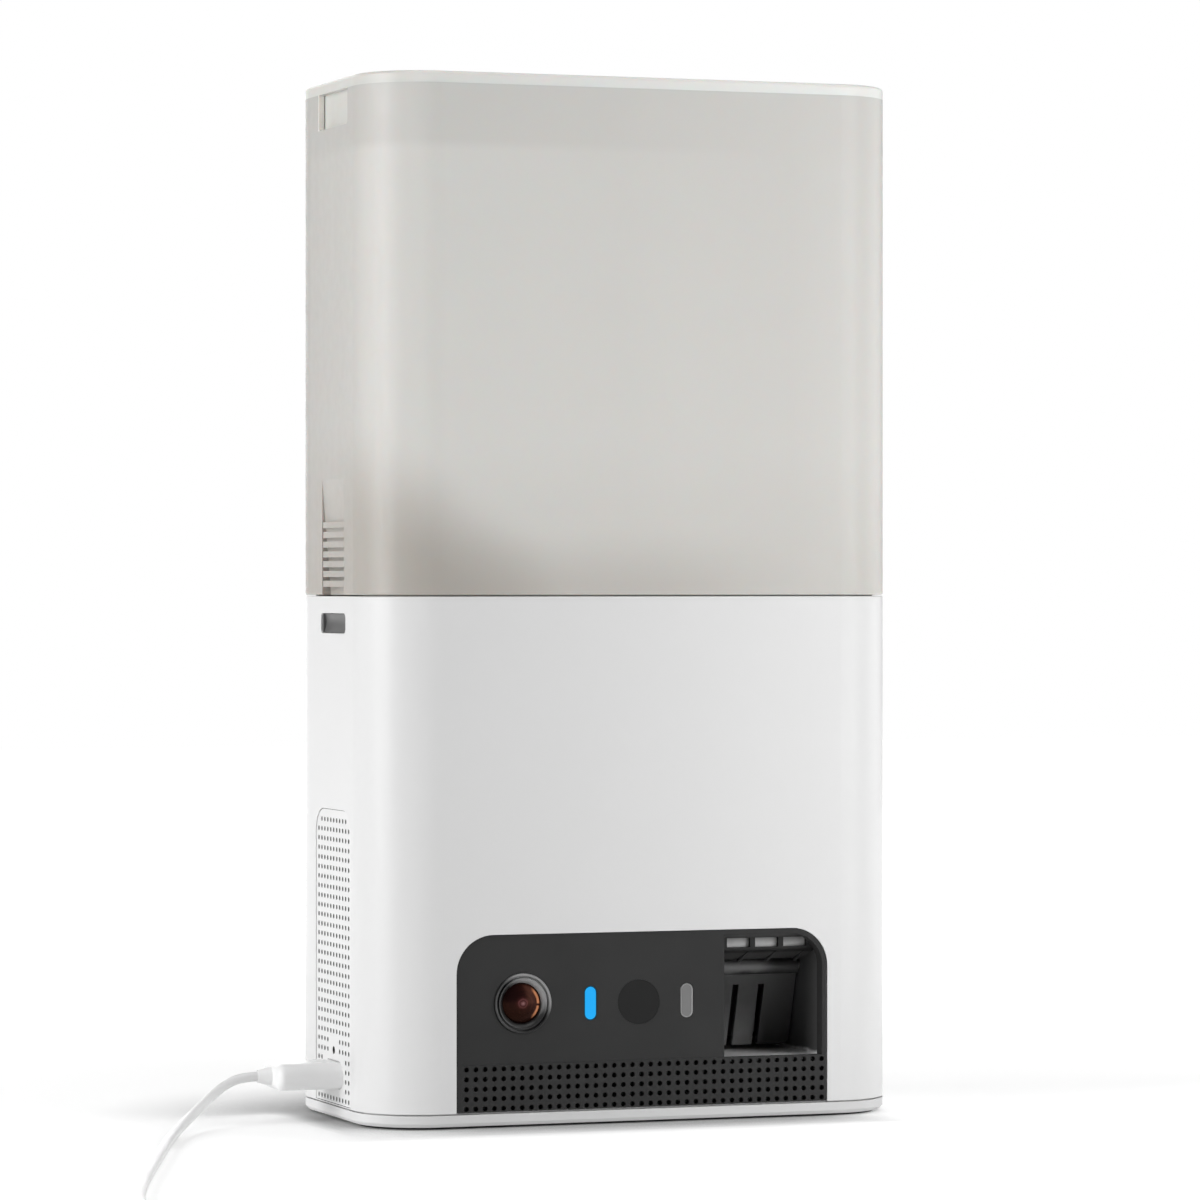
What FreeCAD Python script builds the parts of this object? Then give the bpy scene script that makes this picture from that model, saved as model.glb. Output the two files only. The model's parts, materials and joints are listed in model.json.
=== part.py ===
import FreeCAD, Part

import math
import os

# Treat tossing pet camera. Millimetres, +Z up, front towards -Y, origin at the
# middle of the body's base, on the surface that it stands on.

V = FreeCAD.Vector
X_DIR = V(1, 0, 0)
Y_DIR = V(0, 1, 0)
Z_DIR = V(0, 0, 1)

# ---- Body ---------------------------------------------------------------
BODY_W = 146.0
BODY_D = 75.0
BODY_H = 270.0
CORNER_R = 18.0
SEAM_Z = 136.0              # top of the housing, where the reservoir starts
SEAM_GAP = 0.3
SHELL_WALL = 2.4            # housing
FOOT_H = 0.6
FOOT_INSET = 2.5
PLATE_H = 3.0
PLATE_CHAMFER = 0.9
SHADOW_GAP = 0.4
NECK_INSET = 1.2
TAB_W = 16.0
TAB_T = 1.6
TAB_H = 4.2
PART_GAP = 0.15             # fixed pieces that drop into a pocket
SLIDE_GAP = 0.3             # pieces that slide past each other
RUN_GAP = 0.05              # radial, a shaft in its bore
EDGE_SOFT = 0.4             # small rounds along the shells' edges
POST_R = 3.5
POST_INSIDE = 6.8           # corner posts, from the housing's inner faces
STAND_R = 2.5               # standoffs and bosses under the boards
SCREW_R = 1.2
SCREW_HEAD_R = 2.8
SCREW_HEAD_H = 1.2
BASE_SCREW_L = 9.0
DECK_SCREW_L = 10.0

# ---- Front panel, windows and speaker grille ------------------------------
PANEL_LEFT = 22.2           # body's left side to the panel's edge
PANEL_RIGHT = 21.85
PANEL_TOP = 49.3
PANEL_R = 9.8
PANEL_SET_BACK = 0.2
PANEL_LIP = 2.0             # flange behind the housing's wall
PANEL_LIP_T = 1.5
GRILLE_TOP = 16.2
GRILLE_HOLE = 1.36          # across the corners of a six-sided hole
GRILLE_ROWS = 5
GRILLE_PITCH_X = 2.51
GRILLE_PITCH_Z = 2.52
GRILLE_EDGE = 4.0           # plain strip left over beside the holes, both ends together
GRILLE_SHIFT = 0.6          # holes stand this far right of the panel's middle
GRILLE_TOP_ROW = 1.1        # from the strip's top edge to its first row
LENS_EDGE = 17.8            # lens from the panel's left edge
LENS_Z = 31.7
LENS_RING_R = 7.75
LENS_TUBE_R = 6.1
LENS_GLASS_R = 4.7
LENS_DOME_R = 7.0
STATUS_STEP = 18.5          # each window from the one before it
INFRARED_STEP = 13.2
SENSOR_STEP = 13.3
WINDOW_Z = 31.3
SLOT_W = 3.5
SLOT_H = 8.9
INFRARED_R = 5.75
INFRARED_T = 1.4
INDICATOR_GAP = 1.3         # indicator board behind the panel's flange
SPEAKER_EDGE = 4.8          # from the panel's left edge
SPEAKER_W = 42.0
SPEAKER_H = 16.0
SPEAKER_Z = 13.0

# ---- Mouth and launch chamber ---------------------------------------------
MOUTH_EDGE = 1.25           # mouth from the panel's right edge
MOUTH_W = 27.5
MOUTH_TOP = 48.0
MOUTH_R = 8.5
CHAMBER_FLOOR = 16.0
CHAMBER_WALL = 1.5
CHAMBER_HEAD = 0.6          # chamber's roof above the mouth
PADDLE_BEHIND = 5.7         # paddle's axis behind the drop chute's bore
PADDLE_REACH = 23.5
PADDLE_SWEPT_GAP = 1.5      # chamber's round back outside the paddle's edge
PADDLE_SIDE_GAP = 0.8
PADDLE_T = 2.0
PADDLE_SWEEP = 55.0         # degrees, cocking stroke
PADDLE_HUB_R = 3.2
SHAFT_R = 1.5
FLAP_AHEAD = 3.3            # flap's axis before the drop chute's bore
FLAP_Z = 38.4
FLAP_FLOOR_GAP = 1.5
FLAP_SIDE_GAP = 0.6
FLAP_T = 1.3
FLAP_LEAN = 17.0            # degrees, its lower edge stands back
FLAP_HUB_R = 2.1
FLAP_PIN_R = 1.0
FLAP_SLOT_SPREAD = 3.6      # each slot from the flap's middle
FLAP_SLOT_W = 1.7
FLAP_SLOT_TOP = 4.8         # slots start this far under the flap's axis
HOOD_T = 1.2
HOOD_WINDOWS = 3
HOOD_WINDOW_W = 6.5
HOOD_WINDOW_PITCH = 7.9
HOOD_WINDOW_Z0 = 44.4
HOOD_WINDOW_Z1 = 46.85
HOOD_SHIFT = -0.4           # windows' middle from the mouth's middle
HOOD_LEDGE = 0.4            # comb below its windows
HOOD_SHEET_T = 0.8
HOOD_DROP = 3.0             # sheet's fall towards the flap
HOOD_RIB = 0.8
STRIP_T = 1.2

# ---- Launch gears ----------------------------------------------------------
GEAR_MODULE = 1.0
PADDLE_GEAR_TEETH = 30      # on a full circle; the sector carries seven
SECTOR_TEETH = 7
DRIVE_GEAR_TEETH = 28       # on a full circle; the wheel carries six
DRIVE_TEETH = 6
GEAR_BACKLASH = 0.16
GEAR_T = 4.0
GEAR_STAND_OFF = 3.1        # from the chamber's side wall
DRIVE_BEHIND = 9.5          # drive axis behind the paddle's axis
PRESSURE = math.radians(20)

# ---- Feeder ------------------------------------------------------------------
POCKETS = 3
POCKET_R = 10.8
POCKET_ORBIT = 19.5
POCKET_RIM = 1.2
ROTOR_H = 18.3
ROTOR_FLOAT = 0.4           # rotor above the reservoir's floor
ROTOR_CONE_R = 9.0
OUTLET_ANGLE = -20.0
HUB_COLLAR_R = 7.0
DOG_AF = 8.0                # six-sided drive dog, across flats
DOG_LENGTH = 10.7           # above the reservoir's floor
DOG_JOURNAL_R = 2.95
MOTOR_W = 12.0
MOTOR_T = 10.0
GEARBOX_L = 9.0
CAN_L = 15.0
MOTOR_DROP = 14.4           # feeder motor's face under the deck's top
FEEDER_SHAFT_L = 11.0

# ---- Deck and drop chute -------------------------------------------------------
DECK_DROP = 9.6             # deck's top under the seam
DECK_T = 2.4
CHUTE_CLEAR = 0.4           # chute wider than a pocket
CHUTE_TRIM = 1.0            # chute's depth under its width
CHUTE_WALL = 1.3
CHUTE_R = 8.0
CHUTE_Z0 = 43.2

# ---- Reservoir, lid and hopper ---------------------------------------------------
RES_WALL = 1.5
RES_FLOOR_T = 2.0
RIM_GAP = 0.4               # rim that drops into the housing, to its wall
RIM_T = 1.6
LID_RIM = 3.0
LID_SOFT = 1.0
LID_SKIRT_H = 15.0
LID_SKIRT_T = 1.6
LID_GAP = 0.25
SEAL_H = 2.4
SEAL_DEEP = 0.7             # seal's groove in the skirt
SEAL_FREE = 0.12            # seal to the reservoir's wall
SEAL_LOW = 2.0              # seal above the skirt's lower edge
NOTCH_W = 25.0
NOTCH_H = 9.3
SIDE_Y = -2.4               # middle of everything on the side walls
GRIP_W = 19.0
GRIP_RISE = 30.4            # grip's top above the seam
GRIP_DEPTH = 2.4
GRIP_RIBS = 7
GRIP_RIB_T = 1.6
GRIP_RIB_PITCH = 2.55
GRIP_RIB_RISE = 2.4
HOPPER_GAP = 0.2
HOPPER_T = 2.0
HOPPER_RISE_LEFT = 19.0     # slopes' upper ends above the rotor
HOPPER_RISE_RIGHT = 9.0
HOPPER_WALL = 1.5
HOPPER_LANDING = 5.2        # flat beside the rotor, under the guard
GUARD_T = 1.6
GUARD_SPREAD = 34.0         # degrees to each side of the outlet
GUARD_REACH = 4.5           # past the rotor's rim
GUARD_PEG_R = 1.15

# ---- Release buttons -------------------------------------------------------------
BUTTON_W = 21.1
BUTTON_H = 4.9
BUTTON_DROP = 7.05          # button's middle under the seam
BUTTON_R = 1.2
BUTTON_TRAVEL = 2.5
BUTTON_SET_BACK = 0.3
BUTTON_FLANGE = 1.6
BUTTON_DEPTH = 12.0         # body's side to the stem's end
BUTTON_STEM_W = 14.0
SCOOP_R = 6.0
SCOOP_DEPTH = 0.8

# ---- Side grille, power inlet and plug ---------------------------------------------
VENT_W = 30.3
VENT_Z0 = 4.4
VENT_Z1 = 80.5
VENT_R = 6.5
VENT_T = 1.2
VENT_SET_BACK = 0.15
VENT_SEAT = 1.2             # step of the wall behind the grille
VENT_COLS = 11
VENT_ROWS = 30
VENT_PITCH_Y = 2.6
VENT_PITCH_Z = 2.49
VENT_HOLE = 1.2
VENT_ROW_Z = 5.6
PINHOLE_Z = 18.1
PINHOLE_R = 0.9
USB_Z = 11.9
PLUG_W = 16.2
PLUG_H = 6.9
PLUG_STICKS_OUT = 17.0      # grip's end from the body's side
RELIEF_L = 3.5

# ---- Boards ------------------------------------------------------------------------------
BOARD_T = 1.2
BOARD_Z = 9.0
POWER_BOARD_L = 25.5
POWER_BOARD_D = 24.0
MAIN_BOARD_T = 1.6
MAIN_BOARD_W = 64.5
MAIN_BOARD_Z0 = 24.0
MAIN_BOARD_Z1 = 104.0
MAIN_BOARD_SIDE = 13.5      # from the body's left side
MAIN_BOARD_BACK = 5.9       # from the body's back
SWITCH_T = 3.6
RESET_R = 1.3
RESET_L = 2.7

# ---- Power cable ---------------------------------------------------------------------
CABLE_R = 1.3
CABLE_LENGTH = 1800.0
CABLE_SHOWN = 360.0         # cable that isn't in the coil
CABLE_POINTS = [
    (-93.5, -2.4, 11.9),
    (-97.5, -2.4, 11.9),
    (-103.0, -4.1, 10.1),
    (-108.5, -9.0, 7.1),
    (-114.5, -16.5, 4.3),
    (-120.3, -26.5, 2.4),
    (-126.0, -38.5, 1.4),
    (-132.0, -54.5, 1.3),
    (-139.0, -75.0, 1.3),
    (-147.0, -98.0, 1.3),
    (-155.6, -123.0, 1.3),
    (-164.0, -148.5, 1.3),
    (-171.5, -174.0, 1.3),
    (-176.4, -200.0, 1.3),
    (-178.9, -227.0, 1.3),
    (-179.6, -254.0, 1.6),
    (-179.3, -280.0, 2.0),
]
COIL_X = -158.5
COIL_Y = -280.0
COIL_MEAN_R = 15.6
COIL_COLUMNS = 5
COIL_LAYERS = 3
COIL_LIFT = 0.7
TIE_T = 0.6
TIE_W = 7.0
TIE_FREE = 0.1              # band to the coil, above and outside
TIE_ROOM = 0.85             # band to the coil's round inside
TAIL_POINTS = [
    (-168.8, -282.0, 7.2),
    (-169.2, -289.6, 9.6),
    (-164.2, -297.6, 10.3),
    (-155.5, -303.2, 9.9),
    (-145.3, -304.8, 7.0),
    (-136.0, -303.0, 4.5),
    (-127.0, -303.0, 4.5),
]
END_PLUG_W = 15.6
END_PLUG_H = 8.2
END_PLUG_L = 21.0
END_PLUG_NECK = 3.0
END_TIP_W = 12.0
END_TIP_H = 4.5
END_TIP_L = 11.7
END_TIP_WALL = 0.4

# ---- Worked out from the values above -----------------------------------------------
HALF_W = BODY_W / 2
HALF_D = BODY_D / 2
FRONT = -HALF_D
PLATE_TOP = FOOT_H + PLATE_H
HOUSING_Z0 = PLATE_TOP + SHADOW_GAP
POST_X = HALF_W - SHELL_WALL - POST_INSIDE
POST_Y = HALF_D - SHELL_WALL - POST_INSIDE

PANEL_X0 = -HALF_W + PANEL_LEFT
PANEL_X1 = HALF_W - PANEL_RIGHT
PANEL_Y0 = FRONT + PANEL_SET_BACK
PANEL_Y1 = FRONT + SHELL_WALL
LIP_Y1 = PANEL_Y1 + PANEL_LIP_T
GRILLE_COLS = 1 + int((PANEL_X1 - PANEL_X0 - GRILLE_EDGE) / GRILLE_PITCH_X)
LENS_X = PANEL_X0 + LENS_EDGE
STATUS_X = LENS_X + STATUS_STEP
INFRARED_X = STATUS_X + INFRARED_STEP
SENSOR_X = INFRARED_X + SENSOR_STEP
INDICATOR_Y = LIP_Y1 + INDICATOR_GAP
SPEAKER_X = PANEL_X0 + SPEAKER_EDGE + SPEAKER_W / 2

DECK_TOP = SEAM_Z - DECK_DROP
DECK_Z0 = DECK_TOP - DECK_T
MOTOR_TOP = DECK_TOP - MOTOR_DROP
RES_Z0 = SEAM_Z + SEAM_GAP
RES_FLOOR = RES_Z0 + RES_FLOOR_T
RES_TOP = BODY_H - LID_RIM
SEAL_Z = RES_TOP - LID_SKIRT_H + SEAL_LOW
DOG_TOP = RES_FLOOR + DOG_LENGTH
ROTOR_R = POCKET_ORBIT + POCKET_R + POCKET_RIM
ROTOR_Z0 = RES_FLOOR + ROTOR_FLOAT
ROTOR_TOP = ROTOR_Z0 + ROTOR_H
GRIP_TOP = SEAM_Z + GRIP_RISE
HOPPER_LEFT = ROTOR_TOP + HOPPER_RISE_LEFT
HOPPER_RIGHT = ROTOR_TOP + HOPPER_RISE_RIGHT
BUTTON_Z = SEAM_Z - BUTTON_DROP
STEM_END = -HALF_W + BUTTON_DEPTH
SPRING_POST_X = STEM_END + BUTTON_TRAVEL + 4.0

MOUTH_X1 = PANEL_X1 - MOUTH_EDGE
MOUTH_X0 = MOUTH_X1 - MOUTH_W
MOUTH_MID = (MOUTH_X0 + MOUTH_X1) / 2
CHAMBER_ROOF = MOUTH_TOP + CHAMBER_HEAD
CHAMBER_BACK_R = PADDLE_REACH + PADDLE_SWEPT_GAP
OUTLET_X = MOUTH_MID
OUTLET_Y = POCKET_ORBIT * math.sin(math.radians(OUTLET_ANGLE))
OUTLET_R = POCKET_R + 0.5
ROTOR_X = OUTLET_X - POCKET_ORBIT * math.cos(math.radians(OUTLET_ANGLE))
CHUTE_W = 2 * POCKET_R + CHUTE_CLEAR
CHUTE_D = CHUTE_W - CHUTE_TRIM
PADDLE_Y = OUTLET_Y + CHUTE_D / 2 + PADDLE_BEHIND
PADDLE_Z = CHAMBER_FLOOR + CHAMBER_BACK_R
FLAP_Y = OUTLET_Y - CHUTE_D / 2 - FLAP_AHEAD
FLAP_REACH = (FLAP_Z - CHAMBER_FLOOR - FLAP_FLOOR_GAP) / math.cos(math.radians(FLAP_LEAN))
GEAR_X = MOUTH_X1 + CHAMBER_WALL + GEAR_STAND_OFF
GEAR_DISTANCE = GEAR_MODULE * (PADDLE_GEAR_TEETH + DRIVE_GEAR_TEETH) / 2
DRIVE_Y = PADDLE_Y + DRIVE_BEHIND
DRIVE_Z = PADDLE_Z + math.sqrt(GEAR_DISTANCE**2 - DRIVE_BEHIND**2)
MESH_ANGLE = math.degrees(math.atan2(DRIVE_Z - PADDLE_Z, DRIVE_BEHIND))

INLET_X = -HALF_W + VENT_SET_BACK + VENT_T
PLUG_END_X = -HALF_W - PLUG_STICKS_OUT
POWER_BOARD_X = INLET_X + 2.15
RISER_X = INLET_X + 9.75
MAIN_BOARD_X = -HALF_W + MAIN_BOARD_SIDE
BOARD_BACK_Y = HALF_D - MAIN_BOARD_BACK


# ---- Shape helpers -------------------------------------------------------------------
def on_z(z):
    return lambda u, v: V(u, v, z)


def on_y(y):
    return lambda u, v: V(u, y, v)


def on_x(x):
    return lambda u, v: V(x, u, v)


def box(x0, x1, y0, y1, z0, z1):
    return Part.makeBox(x1 - x0, y1 - y0, z1 - z0, V(x0, y0, z0))


def rod(start, direction, radius, length):
    return Part.makeCylinder(radius, length, start, direction)


def corner(before, here, after, radius):
    """Start, middle and end of the round at one point of an outline."""
    to_a = V(before[0] - here[0], before[1] - here[1], 0).normalize()
    to_b = V(after[0] - here[0], after[1] - here[1], 0).normalize()
    half = to_a.getAngle(to_b) / 2
    inward = (to_a + to_b).normalize()
    point = V(here[0], here[1], 0)
    middle = point + inward * (radius / math.sin(half) - radius)
    reach = radius / math.tan(half)
    return point + to_a * reach, middle, point + to_b * reach


def outline(points, radii, place):
    """A closed wire through the points, each corner rounded by its own radius."""
    count = len(points)
    ends = []
    edges = []
    for i, here in enumerate(points):
        if radii[i] == 0:
            at = V(here[0], here[1], 0)
            ends.append((at, at))
            continue
        start, middle, end = corner(points[i - 1], here, points[(i + 1) % count], radii[i])
        ends.append((start, end))
        edges.append(Part.Arc(*[place(p.x, p.y) for p in (start, middle, end)]).toShape())
    for i in range(count):
        leave = ends[i][1]
        reach = ends[(i + 1) % count][0]
        if (leave - reach).Length > 1e-6:
            line = Part.LineSegment(place(leave.x, leave.y), place(reach.x, reach.y))
            edges.append(line.toShape())
    return Part.Wire(Part.__sortEdges__(edges))


def rect(u0, u1, v0, v1):
    return [(u0, v0), (u1, v0), (u1, v1), (u0, v1)]


def prism(points, radii, place, sweep, holes=()):
    """The outline, less any holes given as wires, pushed along sweep."""
    if isinstance(radii, (int, float)):
        radii = [radii] * len(points)
    wires = [outline(points, radii, place)] + list(holes)
    return Part.makeFace(wires, "Part::FaceMakerBullseye").extrude(sweep)


def body_block(inset, z0, z1):
    """A slice of the body's own outline, set in from its skin."""
    x = HALF_W - inset
    y = HALF_D - inset
    return prism(rect(-x, x, -y, y), CORNER_R - inset, on_z(z0), V(0, 0, z1 - z0))


def tube_block(inset, wall, z0, z1):
    return body_block(inset, z0, z1).cut(body_block(inset + wall, z0, z1))


def turned(profile, origin, axis):
    """A solid of revolution from points (radius, distance along the axis)."""
    side = X_DIR if abs(axis.z) > 0.5 else Z_DIR
    points = [origin + side * r + axis * h for r, h in profile]
    face = Part.Face(Part.makePolygon(points + points[:1]))
    return face.revolve(origin, axis, 360)


def polygon_wire(centre_u, centre_v, radius, sides, place, turn=0.0):
    points = []
    for i in range(sides + 1):
        a = math.radians(turn) + 2 * math.pi * i / sides
        points.append(place(centre_u + radius * math.cos(a), centre_v + radius * math.sin(a)))
    return Part.makePolygon(points)


def fuse(shapes):
    return shapes[0].multiFuse(shapes[1:]).removeSplitter() if len(shapes) > 1 else shapes[0]


def edges_at(shape, z):
    """Edges that lie flat at height z, for rounding or chamfering."""
    flat = []
    for edge in shape.Edges:
        bounds = edge.BoundBox
        if abs(bounds.ZMin - z) < 1e-4 and abs(bounds.ZMax - z) < 1e-4:
            flat.append(edge)
    return flat


def mirror_x(shape):
    return shape.mirror(V(0, 0, 0), X_DIR)


def posts():
    return [(sx * POST_X, sy * POST_Y) for sx in (-1, 1) for sy in (-1, 1)]


def legs():
    """Where the launch chamber stands on the base plate."""
    front = OUTLET_Y - 2.3
    return [(MOUTH_X0 + 5, front), (MOUTH_X1 - 5, front), (MOUTH_MID, PADDLE_Y + 8.5)]


# ---- Base ----------------------------------------------------------------------------
def rubber_foot():
    return body_block(FOOT_INSET, 0, FOOT_H)


def base_plate():
    slab = body_block(0, FOOT_H, PLATE_TOP)
    slab = slab.makeChamfer(PLATE_CHAMFER, edges_at(slab, FOOT_H))
    neck = body_block(NECK_INSET, PLATE_TOP, HOUSING_Z0)
    tab_y = HALF_D - SHELL_WALL - PART_GAP
    tab_x = HALF_W - SHELL_WALL - PART_GAP
    end = HALF_W - CORNER_R - TAB_W
    half = TAB_W / 2
    top = HOUSING_Z0 + TAB_H
    tabs = [box(x - half, x + half, tab_y - TAB_T, tab_y, HOUSING_Z0, top) for x in (-end, 0, end)]
    tabs.append(box(tab_x - TAB_T, tab_x, -half, half, HOUSING_Z0, top))
    bosses = [rod(V(x, y, HOUSING_Z0), Z_DIR, STAND_R, BOARD_Z - HOUSING_Z0) for x, y in board_bosses()]
    plate = fuse([slab, neck] + tabs + bosses)
    for x, y in posts() + legs():
        plate = plate.cut(rod(V(x, y, FOOT_H), Z_DIR, SCREW_R + 0.3, HOUSING_Z0 - FOOT_H))
        plate = plate.cut(rod(V(x, y, FOOT_H), Z_DIR, SCREW_HEAD_R + 0.2, SCREW_HEAD_H + 0.2))
    return plate


def panel_opening(spread, y0, y1, bottom):
    points = rect(PANEL_X0 - spread, PANEL_X1 + spread, bottom, PANEL_TOP + spread)
    radius = PANEL_R + spread
    return prism(points, [0, 0, radius, radius], on_y(y0), V(0, y1 - y0, 0))


def vent_outline(spread):
    y0 = SIDE_Y - VENT_W / 2 - spread
    y1 = SIDE_Y + VENT_W / 2 + spread
    return rect(y0, y1, VENT_Z0 - spread, VENT_Z1 + spread), [0.5, 0.5, VENT_R, VENT_R]


def button_slot(x0, x1):
    y = BUTTON_W / 2 + SLIDE_GAP / 2
    z = BUTTON_H / 2 + SLIDE_GAP / 2
    points = rect(SIDE_Y - y, SIDE_Y + y, BUTTON_Z - z, BUTTON_Z + z)
    return prism(points, BUTTON_R + SLIDE_GAP / 2, on_x(x0), V(x1 - x0, 0, 0))


def housing():
    shell = tube_block(0, SHELL_WALL, HOUSING_Z0, SEAM_Z)
    solid = body_block(0, HOUSING_Z0, DECK_Z0)
    columns = [rod(V(x, y, HOUSING_Z0), Z_DIR, POST_R, DECK_Z0 - HOUSING_Z0) for x, y in posts()]
    standoffs = [
        rod(V(x, BOARD_BACK_Y, z), Y_DIR, STAND_R, HALF_D - SHELL_WALL - BOARD_BACK_Y)
        for x, z in main_board_holes()
    ]
    shell = fuse([shell] + [c.common(solid) for c in columns] + standoffs)
    shell = shell.makeFillet(EDGE_SOFT, [e for e in edges_at(shell, SEAM_Z) if on_skin(e)])
    shell = shell.cut(panel_opening(PART_GAP, FRONT - 1, PANEL_Y1 + 0.01, HOUSING_Z0 - 1))
    points, radii = vent_outline(PART_GAP)
    shell = shell.cut(prism(points, radii, on_x(-HALF_W - 1), V(1 + INLET_X + HALF_W, 0, 0)))
    points, radii = vent_outline(-VENT_SEAT)
    shell = shell.cut(prism(points, radii, on_x(-HALF_W - 1), V(SHELL_WALL + 2, 0, 0)))
    for x0 in (-HALF_W - 1, HALF_W - SHELL_WALL - 1):
        shell = shell.cut(button_slot(x0, x0 + SHELL_WALL + 2))
    for x, y in posts():
        shell = shell.cut(rod(V(x, y, HOUSING_Z0), Z_DIR, SCREW_R, 10))
        shell = shell.cut(rod(V(x, y, DECK_Z0 - 10), Z_DIR, SCREW_R, 10))
    return shell


def on_skin(edge):
    """Whether an edge lies on the body's outside."""
    middle = edge.valueAt((edge.FirstParameter + edge.LastParameter) / 2)
    straight_x = abs(abs(middle.x) - HALF_W) < 1e-3
    straight_y = abs(abs(middle.y) - HALF_D) < 1e-3
    around = math.hypot(
        abs(middle.x) - (HALF_W - CORNER_R), abs(middle.y) - (HALF_D - CORNER_R)
    )
    return straight_x or straight_y or abs(around - CORNER_R) < 1e-3


# ---- Front panel group ---------------------------------------------------------------
def slot_window(mid_x, spread, y0, y1):
    w = SLOT_W / 2 + spread
    h = SLOT_H / 2 + spread
    points = rect(mid_x - w, mid_x + w, WINDOW_Z - h, WINDOW_Z + h)
    return prism(points, w - 0.01, on_y(y0), V(0, y1 - y0, 0))


def mouth(y0, y1, bottom):
    points = rect(MOUTH_X0, MOUTH_X1, bottom, MOUTH_TOP)
    return prism(points, [0, 0, MOUTH_R, 0.6], on_y(y0), V(0, y1 - y0, 0))


def front_panel():
    face = panel_opening(0, PANEL_Y0, PANEL_Y1, GRILLE_TOP + 0.05)
    lip = panel_opening(PANEL_LIP, PANEL_Y1, LIP_Y1, HOUSING_Z0 + 0.4)
    panel = fuse([face, lip])
    back = LIP_Y1 + 1
    edge = 1.2
    window = box(PANEL_X0 + edge, PANEL_X1 - edge, PANEL_Y1 - 0.01, back, HOUSING_Z0 - 1, GRILLE_TOP - 1.5)
    panel = panel.cut(window)
    panel = panel.cut(mouth(PANEL_Y0 - 1, back, GRILLE_TOP - 2))
    panel = panel.cut(rod(V(LENS_X, PANEL_Y0 - 1, LENS_Z), Y_DIR, LENS_RING_R + PART_GAP / 3, 6))
    panel = panel.cut(rod(V(INFRARED_X, PANEL_Y0 - 1, WINDOW_Z), Y_DIR, INFRARED_R + 0.05, 6))
    for x in (STATUS_X, SENSOR_X):
        panel = panel.cut(slot_window(x, 0.05, PANEL_Y0 - 1, back))
    return panel


def speaker_grille():
    holes = []
    first_x = (PANEL_X0 + PANEL_X1) / 2 + GRILLE_SHIFT - GRILLE_PITCH_X * (GRILLE_COLS - 1) / 2
    for row in range(GRILLE_ROWS):
        z = GRILLE_TOP - GRILLE_TOP_ROW - row * GRILLE_PITCH_Z
        for col in range(GRILLE_COLS):
            x = first_x + col * GRILLE_PITCH_X
            holes.append(polygon_wire(x, z, GRILLE_HOLE / 2, 6, on_y(PANEL_Y0)))
    points = rect(PANEL_X0, PANEL_X1, HOUSING_Z0 + 0.1, GRILLE_TOP)
    return prism(points, 0, on_y(PANEL_Y0), V(0, PANEL_Y1 - PANEL_Y0, 0), holes)


def lens_ring():
    r = LENS_RING_R
    bore = LENS_TUBE_R + 0.05
    profile = [(r, 2.6), (r, 0.35), (r - 0.35, 0), (r - 0.9, 0), (bore, 0.9), (bore, 2.6)]
    return turned(profile, V(LENS_X, PANEL_Y0 - 0.5, LENS_Z), Y_DIR)


def lens_tube():
    r = LENS_TUBE_R
    g = LENS_GLASS_R
    profile = [(r, 7.6), (r, 0), (r - 0.5, 0), (g + 0.05, 1.5), (g + 0.05, 4.5), (2.5, 4.5), (2.5, 7.6)]
    return turned(profile, V(LENS_X, PANEL_Y0 + 0.2, LENS_Z), Y_DIR)


def lens_glass():
    front = PANEL_Y0 + 0.1
    dome = Part.makeSphere(LENS_DOME_R, V(LENS_X, front + LENS_DOME_R, LENS_Z))
    return dome.common(rod(V(LENS_X, front - 1, LENS_Z), Y_DIR, LENS_GLASS_R, 5.6))


def camera_board():
    y = PANEL_Y0 + 7.8
    holder = box(LENS_X - 6.5, LENS_X + 6.5, y, y + 3, LENS_Z - 6.5, LENS_Z + 6.5)
    board = box(LENS_X - 12, LENS_X + 11.5, y + 3, y + 4.2, LENS_Z - 9.2, LENS_Z + 10)
    plug = box(LENS_X - 9, LENS_X - 1, y + 4.2, y + 6, LENS_Z + 5, LENS_Z + 9)
    return fuse([holder, board, plug])


def status_light():
    return slot_window(STATUS_X, 0, PANEL_Y0 + 0.1, INDICATOR_Y)


def sensor_window():
    return slot_window(SENSOR_X, 0, PANEL_Y0 + 0.1, INDICATOR_Y)


def infrared_window():
    return rod(V(INFRARED_X, PANEL_Y0 + 0.05, WINDOW_Z), Y_DIR, INFRARED_R, INFRARED_T)


def indicator_board():
    y = INDICATOR_Y + BOARD_T
    board = box(STATUS_X - 5.5, SENSOR_X + 6, INDICATOR_Y, y, WINDOW_Z - 6.5, WINDOW_Z + 6.5)
    reach = INDICATOR_Y - (PANEL_Y0 + INFRARED_T) - 0.2
    profile = [(0, -reach), (1.6, 0.8 - reach), (2.5, 2.4 - reach), (2.5, 0), (0, 0)]
    lamp = turned(profile, V(INFRARED_X, INDICATOR_Y, WINDOW_Z), Y_DIR)
    low = WINDOW_Z - 3
    chips = [box(x - 3, x + 3, y, y + 1, low, low + 6) for x in (STATUS_X + 2.5, SENSOR_X - 6)]
    return fuse([board, lamp] + chips)


def speaker_slab(inset, y0, depth):
    w = SPEAKER_W / 2 - inset
    h = SPEAKER_H / 2 - inset
    points = rect(SPEAKER_X - w, SPEAKER_X + w, SPEAKER_Z - h, SPEAKER_Z + h)
    return prism(points, h - 0.5, on_y(y0), V(0, depth, 0))


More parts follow.
